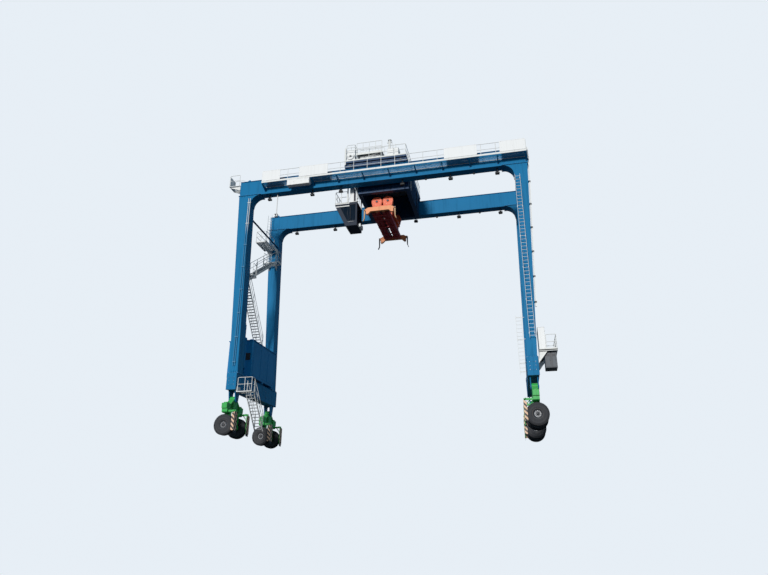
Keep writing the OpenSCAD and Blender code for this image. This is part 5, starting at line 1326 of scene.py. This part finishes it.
def end_beam_trim(name, out):
    """Corner housings, twistlock heads, flipper gear cases and bolts of one spreader end."""
    y = out * END_BEAM_Y
    for k in BOTH:
        x = HOIST_X + k * 1.1295
        block((x - 0.085, y + out * 0.055, 18.77), (x + 0.085, y + out * 0.071, 18.98), beam_orange, 0.004)
        bolt_square((x, y + out * 0.071, 18.875), (0.06, 0, 0.075), (0, out, 0), 0.010)
        turned([(0.0, -0.02), (0.030, -0.018), (0.045, 0.0), (0.045, 0.022), (0.030, 0.030)], (x, y, 18.655), UP,
               black_iron_and_painted_shade, 16)
        fx = HOIST_X + k * FLIPPER_X
        rod((fx, y - 0.165, FLIPPER_Z), (fx, y - 0.101, FLIPPER_Z), 0.055, machine_grey, 20, 0.006)
        rod((fx, y + 0.101, FLIPPER_Z), (fx, y + 0.165, FLIPPER_Z), 0.055, machine_grey, 20, 0.006)
        bolt_ring((fx, y + out * 0.165, FLIPPER_Z), (0, out, 0), 0.036, 5, 0.007)
        hose([(fx, y + out * 0.14, 19.21), (fx - k * 0.02, y + out * 0.12, 19.33),
              (fx - k * 0.45, y + out * 0.085, 19.33)], 0.05, 0.010)
    for x in (-0.9, -0.45, 0.0, 0.45, 0.9):
        block((HOIST_X + x - 0.007, y + out * 0.055, 19.0), (HOIST_X + x + 0.007, y + out * 0.071, 19.16),
              beam_orange, 0.002)
    hose([(HOIST_X - 0.8, y + out * 0.075, 19.20), (HOIST_X + 0.8, y + out * 0.075, 19.20)], 0.05, 0.012)
    fitted("end_beam_trim_" + name, "spreader_" + name, "spreader_red")


def flipper_trim(corner):
    """The hub plates, side ribs and worn tip strip of one flipper, tan as painted sunlight on the near pair and black
    as painted shade on the far pair.
    """
    k, s = CORNERS[corner]
    # The same flippers, tan in front as painted sunlight and black at the back as painted shade.
    finish = flipper_sunlit_tan if s < 0 else black_iron_and_painted_shade
    x, y, z = HOIST_X + k * FLIPPER_X, s * END_BEAM_Y, FLIPPER_Z
    for w in BOTH:
        turned([(0.031, 0.0), (0.031, 0.003), (0.066, 0.003), (0.070, 0.0)], (x, y + w * 0.070, z), (0, w, 0), finish,
               28)
        outline = [(x + k * u, z + v) for u, v in ((0.0, -0.16), (0.055, -0.16), (0.055, -0.80), (0.135, -1.02),
                                                   (0.115, -1.02), (0.015, -0.79))]
        plate(outline, 0.010, ("xz", y + w * 0.072), finish, 0.002)
    fitted("flipper_trim_" + corner, "flipper_" + corner, "spreader_red")


head_block_trim()
spreader_trim()
end_beam_trim("near", -1)
end_beam_trim("far", 1)
for flipper_corner in CORNERS:
    flipper_trim(flipper_corner)

# Steered running gear

STEP = 1.1
BOGIE_TOP = BOGIE_Z + 0.40
LEG_OUT = TYRE_W / 2 + 0.05 + 0.20
GUARD_X = -0.87


def round_axis(part, count, middle, axis):
    """Turned copies of a part, evenly spaced round an axis."""
    away = Matrix.Translation(middle)
    for i in range(1, count):
        copied(part, away @ Matrix.Rotation(2 * math.pi * i / count, 4, axis) @ away.inverted())


def bogie_parts():
    """Stiffeners in the side pockets, boss bolts, grease lines and pin covers of a bogie beam."""
    for k in BOTH:
        for s in BOTH:
            for y, top in ((0.42, 2.58), (0.60, 2.42)):
                block((k * 0.149, s * y - 0.006, BOGIE_Z + 0.05), (k * 0.214, s * y + 0.006, top), gear_green)
            block((k * 0.219, s * 0.13, BOGIE_Z), (k * 0.231, s * 1.38, BOGIE_Z + 0.02), gear_green, 0.003)
        turned([(0.113, -0.002), (0.113, 0.006), (0.165, 0.006), (0.172, -0.002)], (k * 0.220, 0, 2.95), (k, 0, 0),
               gear_green, 40)
    for s in BOTH:
        bolt_ring((0, s * STEP, BOGIE_TOP), UP, 0.232, 14, 0.014)
        hose([(0.12, s * 0.30, 2.88), (0.12, s * 0.50, 2.66), (0.12, s * 0.72, 2.49), (0.12, s * 0.86, 2.48)], 0.06,
             0.011)
        block((-0.17, s * 1.41, BOGIE_Z + 0.06), (0.17, s * 1.436, BOGIE_TOP - 0.06), gear_green, 0.004)
        block((-0.05, s * 0.62 - 0.03, 2.555), (0.05, s * 0.62 + 0.03, 2.61), machine_grey, 0.006)


def pod_parts(end):
    """King pin cover, ribs, hub bolts, drive details and the tyre guard's sheet of one pod."""
    turned([(0.0, 0.026), (0.12, 0.024), (0.145, 0.014), (0.15, 0.0)], (0, 0, 2.529), UP, gear_green, 40)
    bolt_ring((0, 0, 2.53), UP, 0.18, 8, 0.016)
    for x in (-0.165, 0.165):
        plate([(LEG_OUT - 0.002, 1.06), (LEG_OUT + 0.035, 1.12), (LEG_OUT + 0.035, 1.78), (LEG_OUT - 0.002, 1.90)],
              0.014, ("yz", x), gear_green, 0.002)
    plate([(-0.2745, 0.35), (0.23, 0.35), (0.23, 1.765), (-0.2745, 1.765)], 0.005, ("yz", GUARD_X - 0.0225),
          guard_stripes)
    plate([(GUARD_X - 0.02, 0.35), (GUARD_X + 0.20, 0.35), (GUARD_X + 0.20, 1.62), (GUARD_X - 0.02, 1.765)],
          0.005, ("xz", -0.272), guard_stripes)
    for y in (-0.222, 0.222):
        block((GUARD_X, y - 0.008, 0.36), (GUARD_X + 0.035, y + 0.008, 1.75), gear_green, 0.003)
        tubes([[(-0.40, y * 0.25, 1.86), (GUARD_X + 0.01, y * 0.9, 1.32)]], 0.016, gear_green)
        bolts([(GUARD_X - 0.025, y * 0.9, z) for z in (0.45, 0.9, 1.35, 1.7)], LEFT, 0.010)
    block((GUARD_X - 0.014, -0.22, 0.17), (GUARD_X - 0.004, 0.22, 0.40), cable_black, 0.003)
    turned([(0.10, 0.012), (0.24, 0.012), (0.25, 0.0)], (0, 0.299, TYRE_R), NEAR, machine_grey, 40)
    if end == "inner":
        y = LEG_OUT + 0.09
        turned([(0.0, 0.035), (0.07, 0.033), (0.12, 0.016), (0.13, 0.0)], (0, y - 0.001, TYRE_R), FAR, machine_grey,
               40)
        bolt_ring((0, LEG_OUT + 0.04, TYRE_R), FAR, 0.205, 12, 0.018)
        return
    y, base, top = LEG_OUT + 0.16, TYRE_R + 0.38, BOGIE_Z - 0.18
    cover = [(LEG_OUT + 0.03, 0.66), (LEG_OUT + 0.14, 0.66), (LEG_OUT + 0.28, 0.88), (LEG_OUT + 0.28, 1.09),
             (LEG_OUT + 0.03, 1.09)]
    for k in BOTH:
        plate(cover, 0.012, ("yz", k * 0.134), gear_green, 0.003)
        bolts([(k * 0.140, yy, zz) for yy, zz in ((LEG_OUT + 0.05, 0.69), (LEG_OUT + 0.125, 0.69),
                                                  (LEG_OUT + 0.255, 0.90), (LEG_OUT + 0.255, 1.065),
                                                  (LEG_OUT + 0.05, 1.065), (LEG_OUT + 0.05, 0.88))], (k, 0, 0), 0.012)
    fin = turned([(0.125, 0.0), (0.147, 0.0), (0.147, 0.010), (0.125, 0.010), (0.125, 0.0)], (0, y, base + 0.05), UP,
                 motor_green)
    repeat(fin, 14, (0, 0, 0.04))
    turned([(0.0, 0.02), (0.10, 0.018), (0.138, 0.0)], (0, y, top + 0.0595), UP, motor_green)
    bolt_ring((0, y, base + 0.002), UP, 0.137, 6, 0.010)
    block((0.125, y - 0.07, 1.45), (0.205, y + 0.07, 1.61), motor_green, 0.008, 2)
    hose([(0.165, y, 1.60), (0.165, y, 1.80), (0.165, LEG_OUT - 0.01, 1.87)], 0.05, 0.014)


def wheel_parts():
    """A tyre with its tread blocks, sidewall rings, bolted rim and hub cap, round the Y axis."""
    w, middle = TYRE_W / 2, (0, 0, TYRE_R)
    side = [(0.382, w - 0.035), (0.392, w - 0.012), (0.42, w - 0.004), (0.455, w - 0.003), (0.462, w), (0.478, w),
            (0.485, w - 0.003), (0.56, w - 0.001), (0.63, w - 0.004), (0.637, w), (0.65, w - 0.001),
            (0.657, w - 0.008), (0.71, w - 0.020), (0.745, w - 0.038), (0.768, w - 0.058), (0.7745, w - 0.075)]
    turned(side + [(r, -y) for r, y in reversed(side)], middle, FAR, tyre_rubber, 80)
    for low, high, slant in ((-w + 0.052, -0.145, 0.0), (-0.106, -0.019, 0.30), (0.019, 0.106, -0.30),
                             (0.145, w - 0.052, 0.0)):
        lug = block((-0.037, low, 2 * TYRE_R - 0.03), (0.037, high, 2 * TYRE_R - 0.0016), tyre_rubber, 0.003)
        mid = Matrix.Translation((0, (low + high) / 2, 0))
        lug.data.transform(mid @ Matrix.Rotation(slant, 4, "Z") @ mid.inverted())
        round_axis(lug, 50, middle, "Y")
    bar = block((-0.010, w - 0.010, TYRE_R + 0.675), (0.010, w - 0.0020, TYRE_R + 0.70), tyre_rubber)
    round_axis(bar, 50, middle, "Y")
    rim = [(0.145, -0.150), (0.255, -0.150), (0.275, -0.158), (0.318, -0.205), (0.345, -0.213), (0.350, -0.226),
           (0.372, -0.230), (0.384, -0.226), (0.384, -0.200), (0.384, 0.200), (0.384, 0.226), (0.372, 0.230),
           (0.350, 0.226), (0.345, 0.213), (0.318, 0.205), (0.275, 0.158), (0.255, 0.150), (0.145, 0.150)]
    turned(rim, middle, FAR, rim_grey, 64)
    turned([(0.0, -0.214), (0.085, -0.210), (0.108, -0.192), (0.112, -0.158), (0.146, -0.156), (0.150, -0.148),
            (0.098, -0.148), (0.096, -0.186), (0.080, -0.203), (0.0, -0.205)], middle, FAR, rim_grey, 40)
    turned([(0.150, 0.149), (0.110, 0.149), (0.085, 0.153), (0.085, 0.146), (0.110, 0.142)], middle, FAR,
           rim_grey, 40)
    bolt_ring((0, -0.150, TYRE_R), NEAR, 0.20, 12, 0.020)
    bolt_ring((0, -0.157, TYRE_R), NEAR, 0.13, 8, 0.012)
    tubes([bend_corners([(0, -0.158, TYRE_R + 0.27), (0, -0.20, TYRE_R + 0.28), (0.05, -0.212, TYRE_R + 0.325)],
                        0.01)], 0.006, machine_grey, 6)


def running_gear():
    """Place the bogie, pod and wheel pieces at the four corners."""
    bogie_parts()
    beam = pattern("beam_pattern")
    wheel_parts()
    wheel = pattern("wheel_pattern", 38)
    ends = {}
    for end, way in (("outer", 1), ("inner", -1)):
        pod_parts(end)
        ends[end] = pattern("pod_pattern_" + end), way
    for corner, (sx, sy) in CORNERS.items():
        moved(beam, sx * HALF_SPAN, sy * FRAME_Y, 0)
        fitted("bogie_trim_" + corner, "bogie_" + corner, "gear_green")
        for end, (pod, way) in ends.items():
            there = (Matrix.Translation((sx * HALF_SPAN, sy * (FRAME_Y + way * STEP), 0))
                     @ Matrix.Diagonal((sx, -sy * way, 1, 1)))
            tail = corner + "_" + end
            copied(pod, there)
            fitted("pod_trim_" + tail, "pod_" + tail, "gear_green")
            copied(wheel, there)
            fitted("tyre_" + tail, "wheel_" + tail, "tyre_black", "wheel_" + tail, smooth=38)


running_gear()
for thing in PATTERNS:
    bpy.data.objects.remove(thing)


# Floor, light and camera

def make_floor():
    """A pale floor that a camera below it sees through."""
    deselect()
    bpy.ops.mesh.primitive_plane_add(size=600, location=(0, 0, 0))
    floor = bpy.context.object
    floor.name = floor.data.name = "floor"
    finish, tree = new_finish("floor_pale")
    tint = add(tree, "LightPath")["Is Camera Ray"].mixed((0.10, 0.10, 0.105), (0.92, 0.91, 0.89))
    skinned(finish, tint, 0.9, Specular_IOR_Level=0.1)
    below = add(tree, "NewGeometry")["Backfacing"]
    seen = add(tree, "MixShader", in0=below, in1=Tap(tree.nodes["Principled BSDF"]), in2=add(tree, "BsdfTransparent"))
    feed(tree.nodes["Material Output"].inputs[0], seen)
    floor.data.materials.append(finish)


def make_light():
    """One soft key light from the front above, and a pale even surround."""
    lamp = bpy.data.lights.new("key_light", "SUN")
    lamp.energy = 2.6
    lamp.angle = math.radians(9)
    lamp.color = (1.0, 0.985, 0.95)
    key = bpy.data.objects.new("key_light", lamp)
    key.rotation_mode = "QUATERNION"
    key.rotation_quaternion = Vector((0.12, 0.80, -0.24)).to_track_quat("-Z", "Y")
    bpy.context.scene.collection.objects.link(key)
    world = bpy.data.worlds.new("surround")
    bpy.context.scene.world = world
    world.use_nodes = True
    tree = world.node_tree
    tree.nodes.clear()
    seen = add(tree, "LightPath")
    light = add(tree, "Background", Color=(0.70, 0.87, 1.0), Strength=0.37)
    for ray, colour, strength in (("Is Glossy Ray", (0.22, 0.42, 0.66), 0.5),
                                  ("Is Camera Ray", (0.80, 0.86, 0.92), 1.0)):
        light = add(tree, "MixShader", in0=seen[ray], in1=light,
                    in2=add(tree, "Background", Color=colour, Strength=strength))
    feed(tree.nodes.new("ShaderNodeOutputWorld").inputs[0], light)


def make_camera():
    """The camera at the photograph's viewing angle, low on the near side, looking up."""
    yaw, pitch, roll = 0.2199, 0.3750, 0.0009
    lens = bpy.data.cameras.new("photo_view")
    lens.sensor_width = 36
    lens.lens = 27.55
    lens.clip_end = 2000
    camera = bpy.data.objects.new("photo_view", lens)
    forward = Vector((-math.sin(yaw) * math.cos(pitch), math.cos(yaw) * math.cos(pitch), math.sin(pitch)))
    right = Vector((math.cos(yaw), math.sin(yaw), 0))
    up = right.cross(forward)
    side = math.cos(roll) * right + math.sin(roll) * up
    top = -math.sin(roll) * right + math.cos(roll) * up
    camera.matrix_world = Matrix(((side.x, top.x, -forward.x, 10.30), (side.y, top.y, -forward.y, -46.83),
                                  (side.z, top.z, -forward.z, -5.93), (0, 0, 0, 1)))
    bpy.context.scene.collection.objects.link(camera)
    bpy.context.scene.camera = camera


make_floor()
make_light()
make_camera()
bpy.context.scene.view_settings.view_transform = "Standard"
